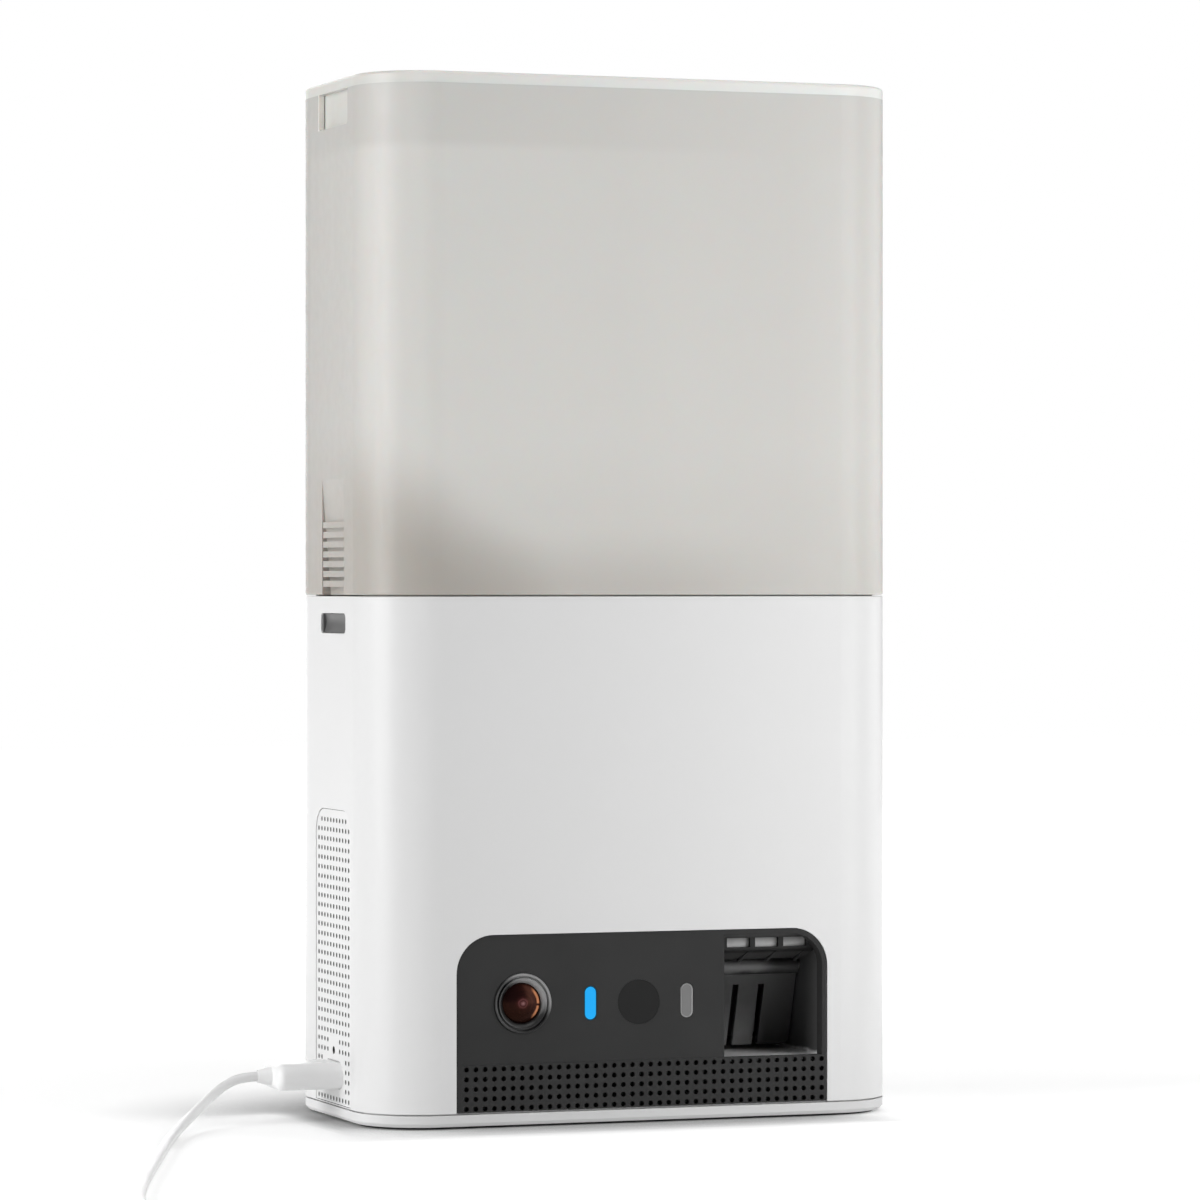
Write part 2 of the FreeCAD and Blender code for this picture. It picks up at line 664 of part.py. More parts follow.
def speaker():
    y = LIP_Y1
    frame = speaker_slab(0, y, 1.6)
    basket = speaker_slab(1.5, y + 1.6, 4)
    hollow = speaker_slab(2.1, y - 1, 4.4)
    cone = speaker_slab(2.1, y + 2, 0.6)
    points = rect(SPEAKER_X - 8, SPEAKER_X + 8, SPEAKER_Z - 5, SPEAKER_Z + 5)
    magnet = prism(points, 1, on_y(y + 5.6), V(0, 4, 0))
    ball = Part.makeSphere(6, V(SPEAKER_X, y + 6.6, SPEAKER_Z))
    cap = ball.common(box(SPEAKER_X - 7, SPEAKER_X + 7, y, y + 2.5, SPEAKER_Z - 6, SPEAKER_Z + 6))
    return fuse([fuse([frame, basket, magnet]).cut(hollow), cone, cap])


# ---- Boards and power inlet ------------------------------------------------------------
def board_bosses():
    return [(POWER_BOARD_X + 20.5, SIDE_Y - 9), (POWER_BOARD_X + 20.5, SIDE_Y + 9)]


def main_board_holes():
    columns = (MAIN_BOARD_X + 4, MAIN_BOARD_X + MAIN_BOARD_W - 4)
    return [(x, z) for x in columns for z in (MAIN_BOARD_Z0 + 4, MAIN_BOARD_Z1 - 4)]


def power_board():
    x = POWER_BOARD_X
    top = BOARD_Z + BOARD_T
    half = POWER_BOARD_D / 2
    board = box(x, x + POWER_BOARD_L, SIDE_Y - half, SIDE_Y + half, BOARD_Z, top)
    riser = box(RISER_X, RISER_X + BOARD_T, SIDE_Y - 4, SIDE_Y + 4, top, PINHOLE_Z + 4)
    coil = box(x + 13.5, x + 21.5, SIDE_Y - 10, SIDE_Y - 4, top, top + 3)
    can = rod(V(x + 17.5, SIDE_Y + 6, top), Z_DIR, 3, 8)
    return fuse([board, riser, coil, can])


def usb_outline(w, h, x0, x1):
    points = rect(SIDE_Y - w / 2, SIDE_Y + w / 2, USB_Z - h / 2, USB_Z + h / 2)
    return prism(points, h / 2 - 0.01, on_x(x0), V(x1 - x0, 0, 0))


def usb_socket():
    mouth_x = INLET_X + 0.6
    shell = usb_outline(9.0, 3.3, mouth_x, mouth_x + 8)
    shell = shell.cut(usb_outline(8.5, 2.75, mouth_x - 1, mouth_x + 7))
    tongue = box(mouth_x + 1.2, mouth_x + 7, SIDE_Y - 3.3, SIDE_Y + 3.3, USB_Z - 0.33, USB_Z + 0.33)
    feet = [
        box(mouth_x + 3, mouth_x + 5, y - 0.4, y + 0.4, BOARD_Z + BOARD_T, USB_Z - 1.5)
        for y in (SIDE_Y - 3.6, SIDE_Y + 3.6)
    ]
    return fuse([shell, tongue] + feet)


def reset_switch():
    x = RISER_X - SWITCH_T
    case = box(x, RISER_X, SIDE_Y - 3, SIDE_Y + 3, PINHOLE_Z - 3, PINHOLE_Z + 3)
    return case.cut(rod(V(x - 0.1, SIDE_Y, PINHOLE_Z), X_DIR, RESET_R + RUN_GAP, 2.4))


def reset_button():
    return rod(V(RISER_X - SWITCH_T - 1.1, SIDE_Y, PINHOLE_Z), X_DIR, RESET_R, RESET_L)


def main_board():
    y1 = BOARD_BACK_Y
    y0 = y1 - MAIN_BOARD_T
    x = MAIN_BOARD_X
    low = MAIN_BOARD_Z0
    high = MAIN_BOARD_Z1
    board = box(x, x + MAIN_BOARD_W, y0, y1, low, high)
    shield = box(x + 9.5, x + 35.5, y0 - 2.4, y0, high - 38, high - 12)
    processor = box(x + 44.5, x + 58.5, y0 - 1.4, y0, high - 34, high - 20)
    driver = box(x + 13.5, x + 25.5, y0 - 1.2, y0, low + 16, low + 28)
    sockets = [box(x + at, x + at + 9, y0 - 5, y0, low + 3, low + 8) for at in (15.5, 33.5, 47.5)]
    board = fuse([board, shield, processor, driver] + sockets)
    for x, z in main_board_holes():
        board = board.cut(rod(V(x, y0 - 1, z), Y_DIR, 1.1, 4))
    return board


def vent_holes(place):
    holes = []
    half = (VENT_COLS - 1) / 2
    for row in range(VENT_ROWS):
        z = VENT_ROW_Z + row * VENT_PITCH_Z
        for col in range(VENT_COLS):
            y = SIDE_Y + (col - half) * VENT_PITCH_Y
            off = abs(y - SIDE_Y)
            at_plug = off < PLUG_W / 2 + 1.2 and abs(z - USB_Z) < PLUG_H / 2 + 1.3
            at_pin = off < VENT_PITCH_Y * 1.2 and abs(z - PINHOLE_Z) < VENT_PITCH_Z * 1.2
            at_round = row == VENT_ROWS - 1 and off > VENT_PITCH_Y * (half - 0.5)
            if not (at_plug or at_pin or at_round):
                holes.append(polygon_wire(y, z, VENT_HOLE / math.sqrt(2), 4, place, 45))
    return holes


def side_grille():
    x = -HALF_W + VENT_SET_BACK
    place = on_x(x)
    slot = rect(
        SIDE_Y - PLUG_W / 2 - PART_GAP, SIDE_Y + PLUG_W / 2 + PART_GAP,
        USB_Z - PLUG_H / 2 - PART_GAP, USB_Z + PLUG_H / 2 + PART_GAP,
    )
    holes = vent_holes(place)
    holes.append(outline(slot, [PLUG_H / 2] * 4, place))
    holes.append(polygon_wire(SIDE_Y, PINHOLE_Z, PINHOLE_R, 12, place))
    points, radii = vent_outline(0)
    return prism(points, radii, place, V(VENT_T, 0, 0), holes)


# ---- Launcher -----------------------------------------------------------------------------
def chamber_profile(spread, front, roof):
    """Side view of the launch chamber: flat floor, round back that the paddle sweeps."""
    radius = CHAMBER_BACK_R + spread
    lean = math.radians(PADDLE_SWEEP + 5)
    start = V(0, PADDLE_Y, PADDLE_Z - radius)
    middle = V(0, PADDLE_Y + radius * math.sin(lean / 2), PADDLE_Z - radius * math.cos(lean / 2))
    end = V(0, PADDLE_Y + radius * math.sin(lean), PADDLE_Z - radius * math.cos(lean))
    top_back = V(0, end.y, roof)
    top_front = V(0, front, roof)
    low_front = V(0, front, start.z)
    sides = [(end, top_back), (top_back, top_front), (top_front, low_front), (low_front, start)]
    edges = [Part.Arc(start, middle, end).toShape()]
    edges += [Part.LineSegment(a, b).toShape() for a, b in sides]
    return Part.Wire(Part.__sortEdges__(edges))


def chamber_solid(x0, x1, spread, front, roof):
    face = Part.Face(chamber_profile(spread, front, roof))
    face.translate(V(x0, 0, 0))
    return face.extrude(V(x1 - x0, 0, 0))


def chute_block(spread, z0, z1):
    w = CHUTE_W / 2 + spread
    d = CHUTE_D / 2 + spread
    points = rect(OUTLET_X - w, OUTLET_X + w, OUTLET_Y - d, OUTLET_Y + d)
    return prism(points, CHUTE_R + spread, on_z(z0), V(0, 0, z1 - z0))


def launch_chamber():
    wall = CHAMBER_WALL
    shell = chamber_solid(MOUTH_X0 - wall, MOUTH_X1 + wall, wall, LIP_Y1, CHAMBER_ROOF + wall)
    stands = [rod(V(x, y, HOUSING_Z0), Z_DIR, 3, 20) for x, y in legs()]
    ear = box(MOUTH_X1, MOUTH_X1 + wall, DRIVE_Y - 11, DRIVE_Y + 12, CHAMBER_ROOF, DRIVE_Z + 8)
    sill = box(MOUTH_X0, MOUTH_X1, PANEL_Y1, LIP_Y1 + 2, CHAMBER_FLOOR - 1.1, CHAMBER_FLOOR)
    inside = chamber_solid(MOUTH_X0, MOUTH_X1, 0, LIP_Y1 - 1, CHAMBER_ROOF)
    shell = fuse([shell] + stands + [ear]).cut(inside)
    shell = fuse([shell, sill])
    shell = shell.cut(chute_block(CHUTE_WALL + PART_GAP, CHAMBER_ROOF - 1, CHAMBER_ROOF + wall + 1))
    x0 = MOUTH_X0 - wall - 1
    span = MOUTH_X1 + wall + 1 - x0
    shell = shell.cut(rod(V(x0, PADDLE_Y, PADDLE_Z), X_DIR, SHAFT_R + RUN_GAP, span))
    shell = shell.cut(rod(V(x0, FLAP_Y, FLAP_Z), X_DIR, FLAP_PIN_R + RUN_GAP, span))
    shell = shell.cut(rod(V(MOUTH_X1 - 1, DRIVE_Y, DRIVE_Z), X_DIR, 3, wall + 2))
    for x, y in legs():
        shell = shell.cut(rod(V(x, y, HOUSING_Z0), Z_DIR, SCREW_R, 8))
    return shell


def drop_chute():
    tube = chute_block(CHUTE_WALL, CHUTE_Z0, DECK_Z0)
    collar = chute_block(CHUTE_WALL + 1.0, DECK_Z0 - 1.5, DECK_Z0)
    return fuse([tube, collar]).cut(chute_block(0, CHUTE_Z0 - 1, DECK_Z0 + 1))


def hood_bays():
    """Middles of the comb's windows along X."""
    middle = MOUTH_MID + HOOD_SHIFT
    return [middle + (i - (HOOD_WINDOWS - 1) / 2) * HOOD_WINDOW_PITCH for i in range(HOOD_WINDOWS)]


def mouth_hood():
    """Comb across the top of the mouth, with a ribbed sheet that slopes back to the flap."""
    y0 = LIP_Y1
    y1 = y0 + HOOD_T
    x0 = MOUTH_X0 + PART_GAP
    x1 = MOUTH_X1 - PART_GAP
    comb = box(x0, x1, y0, y1, HOOD_WINDOW_Z0 - HOOD_LEDGE, CHAMBER_ROOF - 0.05)
    for x in hood_bays():
        half = HOOD_WINDOW_W / 2
        comb = comb.cut(box(x - half, x + half, y0 - 1, y1 + 1, HOOD_WINDOW_Z0, HOOD_WINDOW_Z1))
    back = FLAP_Y - FLAP_HUB_R - 0.7
    front = y1 - 0.1
    top = HOOD_WINDOW_Z0 - 0.05
    low = top - HOOD_SHEET_T
    low_back = low - HOOD_DROP
    side = [(front, top), (front, low), (back, low_back), (back, top - HOOD_DROP)]
    rib = [(front, low + 0.1), (front, low), (back, low_back - HOOD_RIB), (back, low_back + 0.1)]
    pieces = [comb, prism(side, 0, on_x(x0), V(x1 - x0, 0, 0))]
    for x in hood_bays():
        at = x + HOOD_WINDOW_PITCH / 2 - HOOD_RIB / 2
        pieces.append(prism(rib, 0, on_x(at), V(HOOD_RIB, 0, 0)))
    return fuse(pieces)


def hood_strip():
    """Pale strip that backs the comb's windows."""
    y0 = LIP_Y1 + HOOD_T
    z0 = HOOD_WINDOW_Z0 - 0.05
    return box(MOUTH_X0 + PART_GAP, MOUTH_X1 - PART_GAP, y0, y0 + STRIP_T, z0, HOOD_WINDOW_Z1 + 0.6)


def exit_flap():
    x0 = MOUTH_X0 + FLAP_SIDE_GAP
    x1 = MOUTH_X1 - FLAP_SIDE_GAP
    hub = rod(V(x0, FLAP_Y, FLAP_Z), X_DIR, FLAP_HUB_R, x1 - x0)
    foot = FLAP_Z - FLAP_REACH
    sheet = prism(rect(x0, x1, foot, FLAP_Z), [1.5, 1.5, 0, 0], on_y(FLAP_Y - FLAP_T / 2), V(0, FLAP_T, 0))
    half = FLAP_SLOT_W / 2
    for side in (-1, 1):
        x = MOUTH_MID + side * FLAP_SLOT_SPREAD
        slot = box(x - half, x + half, FLAP_Y - FLAP_T, FLAP_Y + FLAP_T, foot - 1, FLAP_Z - FLAP_SLOT_TOP)
        sheet = sheet.cut(slot)
    flap = fuse([hub, sheet]).cut(rod(V(x0 - 1, FLAP_Y, FLAP_Z), X_DIR, FLAP_PIN_R, x1 - x0 + 2))
    flap.rotate(V(0, FLAP_Y, FLAP_Z), X_DIR, FLAP_LEAN)
    return flap


def flap_pin():
    return rod(V(MOUTH_X0 - 5.5, FLAP_Y, FLAP_Z), X_DIR, FLAP_PIN_R, MOUTH_X1 - MOUTH_X0 + 7)


def launch_paddle():
    x0 = MOUTH_X0 + PADDLE_SIDE_GAP
    x1 = MOUTH_X1 - PADDLE_SIDE_GAP
    hub = rod(V(x0, PADDLE_Y, PADDLE_Z), X_DIR, PADDLE_HUB_R, x1 - x0)
    sheet = prism(
        rect(x0, x1, PADDLE_Z - PADDLE_REACH, PADDLE_Z), [2, 2, 0, 0],
        on_y(PADDLE_Y - PADDLE_T / 2), V(0, PADDLE_T, 0),
    )
    foot = (PADDLE_Y, PADDLE_Z - PADDLE_REACH + 3)
    side = [foot, (PADDLE_Y + PADDLE_HUB_R, PADDLE_Z), (PADDLE_Y, PADDLE_Z)]
    ribs = []
    for share in (0.12, 0.5, 0.88):
        x = x0 + share * (x1 - x0)
        ribs.append(prism(side, 0, on_x(x - 0.6), V(1.2, 0, 0)))
    paddle = fuse([hub, sheet] + ribs)
    return paddle.cut(rod(V(x0 - 1, PADDLE_Y, PADDLE_Z), X_DIR, SHAFT_R, x1 - x0 + 2))


def paddle_shaft():
    x0 = MOUTH_X0 - CHAMBER_WALL - 1.5
    return rod(V(x0, PADDLE_Y, PADDLE_Z), X_DIR, SHAFT_R, GEAR_X + GEAR_T + 1 - x0)


def involute(angle):
    return math.tan(angle) - angle


def tooth_flank(teeth, radius):
    """Half of a tooth's angle at this radius, for an involute flank."""
    pitch_r = GEAR_MODULE * teeth / 2
    base_r = pitch_r * math.cos(PRESSURE)
    at_pitch = math.pi / (2 * teeth) - GEAR_BACKLASH / (2 * pitch_r)
    pressure = math.acos(min(1.0, base_r / max(radius, base_r)))
    return at_pitch + involute(PRESSURE) - involute(pressure)


def tooth(teeth, mid_angle, centre_y, centre_z):
    """One spur tooth, drawn from just inside the root circle, as a prism along X."""
    pitch_r = GEAR_MODULE * teeth / 2
    base_r = pitch_r * math.cos(PRESSURE)
    root_r = pitch_r - 1.25 * GEAR_MODULE
    tip_r = pitch_r + GEAR_MODULE
    radii = [root_r - 0.6, base_r, (base_r + tip_r) / 2, tip_r]
    left = []
    right = []
    for r in radii:
        half = tooth_flank(teeth, r)
        for side, angle in ((left, mid_angle + half), (right, mid_angle - half)):
            side.append((centre_y + r * math.cos(angle), centre_z + r * math.sin(angle)))
    points = right + left[::-1]
    return prism(points, 0, on_x(GEAR_X), V(GEAR_T, 0, 0))


def pie(centre_y, centre_z, radius, from_deg, to_deg):
    """A disc's sector, as a prism along X."""
    spots = [math.radians(a) for a in (from_deg, (from_deg + to_deg) / 2, to_deg)]
    at = [V(GEAR_X, centre_y + radius * math.cos(a), centre_z + radius * math.sin(a)) for a in spots]
    middle = V(GEAR_X, centre_y, centre_z)
    edges = [Part.Arc(*at).toShape()]
    edges.append(Part.LineSegment(at[2], middle).toShape())
    edges.append(Part.LineSegment(middle, at[0]).toShape())
    return Part.Face(Part.Wire(Part.__sortEdges__(edges))).extrude(V(GEAR_T, 0, 0))


def paddle_gear():
    """Toothed sector on the paddle's shaft. A tooth stands in mesh at rest."""
    step = 360.0 / PADDLE_GEAR_TEETH
    root_r = GEAR_MODULE * PADDLE_GEAR_TEETH / 2 - 1.25 * GEAR_MODULE
    angles = [MESH_ANGLE + step * (1 - i) for i in range(SECTOR_TEETH)]
    solids = [pie(PADDLE_Y, PADDLE_Z, root_r, angles[-1] - step / 2, angles[0] + step / 2)]
    solids.append(rod(V(GEAR_X, PADDLE_Y, PADDLE_Z), X_DIR, 4.5, GEAR_T))
    solids += [tooth(PADDLE_GEAR_TEETH, math.radians(a), PADDLE_Y, PADDLE_Z) for a in angles]
    return fuse(solids).cut(rod(V(GEAR_X - 1, PADDLE_Y, PADDLE_Z), X_DIR, SHAFT_R, GEAR_T + 2))


def drive_gear():
    """Wheel with teeth on part of its rim, so that the paddle flies free after them."""
    step = 360.0 / DRIVE_GEAR_TEETH
    root_r = GEAR_MODULE * DRIVE_GEAR_TEETH / 2 - 1.25 * GEAR_MODULE
    angles = [MESH_ANGLE + 180 + step * (i - 0.5) for i in range(DRIVE_TEETH)]
    solids = [rod(V(GEAR_X, DRIVE_Y, DRIVE_Z), X_DIR, root_r, GEAR_T)]
    solids += [tooth(DRIVE_GEAR_TEETH, math.radians(a), DRIVE_Y, DRIVE_Z) for a in angles]
    wheel = fuse(solids)
    for i in range(5):
        a = math.radians(MESH_ANGLE + 72 * i)
        spot = V(GEAR_X - 1, DRIVE_Y + 8 * math.cos(a), DRIVE_Z + 8 * math.sin(a))
        wheel = wheel.cut(rod(spot, X_DIR, 2.6, GEAR_T + 2))
    return wheel.cut(rod(V(GEAR_X - 1, DRIVE_Y, DRIVE_Z), X_DIR, SHAFT_R, GEAR_T + 2))


def drive_shaft():
    return rod(V(MOUTH_X1 + 0.1, DRIVE_Y, DRIVE_Z), X_DIR, SHAFT_R, GEAR_X + GEAR_T + 0.9 - MOUTH_X1)


def geared_motor(flat_w, flat_t):
    """Small geared motor, its shaft's end of the gearbox at the origin, body towards -Z."""
    w = flat_w / 2
    t = flat_t / 2
    plate_t = 1.0
    stack = [prism(rect(-w, w, -t, t), 0.8, on_z(-plate_t), V(0, 0, plate_t))]
    stack.append(prism(rect(-w, w, -t, t), 0.8, on_z(-GEARBOX_L), V(0, 0, plate_t)))
    stack.append(rod(V(t * 0.8 - w, 0, -GEARBOX_L), Z_DIR, t * 0.8, GEARBOX_L))
    stack.append(rod(V(w - t * 0.62, 0, -GEARBOX_L), Z_DIR, t * 0.62, GEARBOX_L))
    can = rod(V(0, 0, -GEARBOX_L - CAN_L), Z_DIR, w, CAN_L)
    flats = box(-w, w, -t, t, -GEARBOX_L - CAN_L - 1, 0)
    stack.append(can.common(flats))
    stack.append(rod(V(0, 0, -GEARBOX_L - CAN_L - 1.5), Z_DIR, 2, 1.5))
    return fuse(stack)


def launch_motor():
    motor = geared_motor(MOTOR_W, MOTOR_T)
    motor.rotate(V(0, 0, 0), Y_DIR, 90)
    motor.translate(V(MOUTH_X1, DRIVE_Y, DRIVE_Z))
    return motor


def coil_spring(radius, wire, turns, length):
    """Open coil along +Z from the origin, of straight runs with a square wire."""
    steps = 8
    count = int(turns * steps)
    points = []
    for i in range(count + 1):
        a = 2 * math.pi * i / steps
        points.append(V(radius * math.cos(a), radius * math.sin(a), wire / 2 + (length - wire) * i / count))
    path = Part.makePolygon(points)
    h = wire / 2
    at = points[0]
    square = rect(-h, h, -h, h)
    section = Part.makePolygon([at + V(du, 0, dv) for du, dv in square + square[:1]])
    pipe = Part.BRepOffsetAPI.MakePipeShell(path)
    pipe.setFrenetMode(False)
    pipe.setTransitionMode(1)
    pipe.add(section)
    pipe.build()
    pipe.makeSolid()
    return pipe.shape()


def paddle_spring():
    spring = coil_spring(2.6, 0.6, 2.5, GEAR_X - MOUTH_X1 - CHAMBER_WALL - 0.4)
    spring.rotate(V(0, 0, 0), Y_DIR, 90)
    spring.translate(V(MOUTH_X1 + CHAMBER_WALL + 0.2, PADDLE_Y, PADDLE_Z))
    return spring


def flap_spring():
    spring = coil_spring(1.9, 0.5, 3, 3.6)
    spring.rotate(V(0, 0, 0), Y_DIR, 90)
    spring.translate(V(MOUTH_X0 - CHAMBER_WALL - 3.8, FLAP_Y, FLAP_Z))
    return spring


# ---- Feeder -------------------------------------------------------------------------------
def hexagon(flats, z0, z1):
    wire = polygon_wire(ROTOR_X, 0, flats / math.sqrt(3), 6, on_z(z0))
    return Part.Face(wire).extrude(V(0, 0, z1 - z0))


def feeder_motor():
    motor = geared_motor(MOTOR_W, MOTOR_T)
    motor.rotate(V(0, 0, 0), Z_DIR, 90)
    motor.translate(V(ROTOR_X, 0, MOTOR_TOP))
    return motor


def feeder_shaft():
    return rod(V(ROTOR_X, 0, MOTOR_TOP + 0.1), Z_DIR, SHAFT_R, FEEDER_SHAFT_L)


def drive_dog():
    """Journal in the deck, a thrust flange over it and a tapered six-sided head."""
    r = DOG_JOURNAL_R
    flange = r + 2.55
    flange_z = DECK_TOP + 0.3
    profile = [(0, -8), (r, -8), (r, 0), (flange, 0), (flange, 1.3), (0, 1.3)]
    stem = turned(profile, V(ROTOR_X, 0, flange_z), Z_DIR)
    head = hexagon(DOG_AF, flange_z + 1.3, DOG_TOP)
    wide = DOG_AF * 0.75
    profile = [(0, -22), (wide, -22), (wide, -2.6), (3.2, 0.01), (0, 0.01)]
    tip = turned(profile, V(ROTOR_X, 0, DOG_TOP), Z_DIR)
    return fuse([stem, head.common(tip)]).cut(feeder_shaft())


def pocket_spots():
    spots = []
    for i in range(POCKETS):
        a = math.radians(OUTLET_ANGLE + 360.0 / POCKETS * (i + 0.5))
        spots.append((ROTOR_X + POCKET_ORBIT * math.cos(a), POCKET_ORBIT * math.sin(a)))
    return spots


def feeder_rotor():
    disc = rod(V(ROTOR_X, 0, ROTOR_Z0), Z_DIR, ROTOR_R, ROTOR_H)
    cone = turned([(0, 0), (ROTOR_CONE_R, 0), (3.5, 6.5), (0, 7.2)], V(ROTOR_X, 0, ROTOR_TOP), Z_DIR)
    collar = rod(V(ROTOR_X, 0, RES_Z0 + 0.1), Z_DIR, HUB_COLLAR_R - RUN_GAP, ROTOR_Z0 - RES_Z0)
    rotor = fuse([disc, cone, collar])
    for x, y in pocket_spots():
        rotor = rotor.cut(rod(V(x, y, ROTOR_Z0 - 1), Z_DIR, POCKET_R, ROTOR_H + 2))
    for i in range(POCKETS):
        a = math.radians(OUTLET_ANGLE + 360.0 / POCKETS * i)
        reach = ROTOR_R - 9
        spot = V(ROTOR_X + reach * math.cos(a), reach * math.sin(a), ROTOR_Z0 - 1)
        rotor = rotor.cut(rod(spot, Z_DIR, 5.0, ROTOR_H - 1.0))
    return rotor.cut(hexagon(DOG_AF + 2 * SLIDE_GAP, RES_Z0, DOG_TOP + 1.5))


def hopper_section(drop, side, base):
    """Front view of the hopper: two slopes that run down to the rotor's well."""
    x = HALF_W - RES_WALL - HOPPER_GAP - side
    left = ROTOR_X - ROTOR_R - SLIDE_GAP - HOPPER_WALL
    right = ROTOR_X + ROTOR_R + SLIDE_GAP + HOPPER_LANDING
    flat = ROTOR_TOP - drop
    slopes = [(x, HOPPER_RIGHT - drop), (right, flat), (left, flat), (-x, HOPPER_LEFT - drop)]
    return [(-x, base), (x, base)] + slopes


def hopper_floor():
    inset = RES_WALL + HOPPER_GAP
    z0 = RES_FLOOR + 0.1
    block = body_block(inset, z0, HOPPER_LEFT)
    section = prism(hopper_section(0, 0, z0), 0, on_y(-HALF_D), V(0, BODY_D, 0))
    hollow = prism(hopper_section(HOPPER_T, HOPPER_WALL, z0 - 1), 0, on_y(-HALF_D), V(0, BODY_D, 0))
    hollow = hollow.common(body_block(inset + HOPPER_WALL, z0 - 1, HOPPER_LEFT))
    well_r = ROTOR_R + SLIDE_GAP
    ring = rod(V(ROTOR_X, 0, z0), Z_DIR, well_r + HOPPER_WALL, ROTOR_TOP - z0)
    shell = fuse([block.common(section).cut(hollow), ring])
    shell = shell.cut(rod(V(ROTOR_X, 0, z0 - 1), Z_DIR, well_r, ROTOR_TOP - z0 + 2))
    for x, y in guard_pegs():
        shell = shell.cut(rod(V(x, y, ROTOR_TOP - 6), Z_DIR, GUARD_PEG_R + RUN_GAP, 8))
    for side in (-1, 1):
        pad = grip_pad(side, PART_GAP)
        shell = shell.cut(pad)
    return shell


def guard_pegs():
    pegs = []
    for turn in (-22, 22):
        a = math.radians(OUTLET_ANGLE + turn)
        reach = ROTOR_R + 2.7
        pegs.append((ROTOR_X + reach * math.cos(a), reach * math.sin(a)))
    return pegs


def outlet_guard():
    """Cover that strips the treats off the pocket that stands over the outlet."""
    z = ROTOR_TOP + 0.5
    low = math.radians(OUTLET_ANGLE - GUARD_SPREAD)
    high = math.radians(OUTLET_ANGLE + GUARD_SPREAD)
    mid = math.radians(OUTLET_ANGLE)
    rings = []
    for r in (ROTOR_CONE_R + 1.5, ROTOR_R + GUARD_REACH):
        rings.append([V(ROTOR_X + r * math.cos(a), r * math.sin(a), z) for a in (low, mid, high)])
    inner, outer = rings
    edges = [Part.Arc(*inner).toShape(), Part.Arc(*outer).toShape()]
    edges.append(Part.LineSegment(inner[0], outer[0]).toShape())
    edges.append(Part.LineSegment(inner[2], outer[2]).toShape())
    cover = Part.Face(Part.Wire(Part.__sortEdges__(edges))).extrude(V(0, 0, GUARD_T))
    cover = cover.common(body_block(RES_WALL + HOPPER_GAP, z - 1, z + 3))
    pegs = [rod(V(x, y, ROTOR_TOP - 5), Z_DIR, GUARD_PEG_R, 6) for x, y in guard_pegs()]
    return fuse([cover] + pegs)


# ---- Deck ---------------------------------------------------------------------------------
def top_deck():
    plate = body_block(SHELL_WALL + PART_GAP, DECK_Z0, DECK_TOP)
    boss = rod(V(ROTOR_X, 0, DECK_TOP - 6), Z_DIR, DOG_JOURNAL_R + 1.75, 6)
    cradle = []
    for side in (-1, 1):
        y = side * (MOTOR_W / 2 + 0.7)
        cradle.append(box(ROTOR_X - 5, ROTOR_X + 4.5, y - 0.7, y + 0.7, MOTOR_TOP - 12, DECK_Z0))
    guides = [button_guides()]
    guides.append(mirror_x(guides[0]))
    deck = fuse([plate, boss] + cradle + guides)
    deck = deck.cut(chute_block(0.3, DECK_Z0 - 4, DECK_TOP + 1))
    deck = deck.cut(rod(V(ROTOR_X, 0, DECK_TOP - 8), Z_DIR, DOG_JOURNAL_R + RUN_GAP, 10))
    for x, y in posts():
        deck = deck.cut(rod(V(x, y, DECK_Z0 - 1), Z_DIR, SCREW_R + 0.3, DECK_T + 2))
        deck = deck.cut(rod(V(x, y, DECK_TOP - SCREW_HEAD_H - 0.1), Z_DIR, SCREW_HEAD_R + 0.2, 3))
    return deck


def button_guides():
    """Rails either side of the left button's stem, and the post that its spring stands on."""
    x = -HALF_W
    rails = []
    for side in (-1, 1):
        y = SIDE_Y + side * (BUTTON_STEM_W / 2 + SLIDE_GAP + 1)
        rails.append(box(x + 7, STEM_END + 1, y - 1, y + 1, DECK_TOP, BUTTON_Z + 3.5))
    post = box(SPRING_POST_X, SPRING_POST_X + 2, SIDE_Y - 4, SIDE_Y + 4, DECK_TOP, BUTTON_Z + 3.5)
    return fuse(rails + [post])


def screws(spots, z, direction, length):
    """Pan-head screws as separate solids of one group."""
    made = []
    for x, y in spots:
        profile = [(0, 0), (SCREW_HEAD_R, 0), (SCREW_HEAD_R, SCREW_HEAD_H), (SCREW_R, SCREW_HEAD_H)]
        profile += [(SCREW_R, length), (0, length)]
        made.append(turned(profile, V(x, y, z), direction))
    return Part.makeCompound(made)


def base_screws():
    return screws(posts() + legs(), FOOT_H + 0.1, Z_DIR, BASE_SCREW_L)


def deck_screws():
    return screws(posts(), DECK_TOP - 0.05, V(0, 0, -1), DECK_SCREW_L)


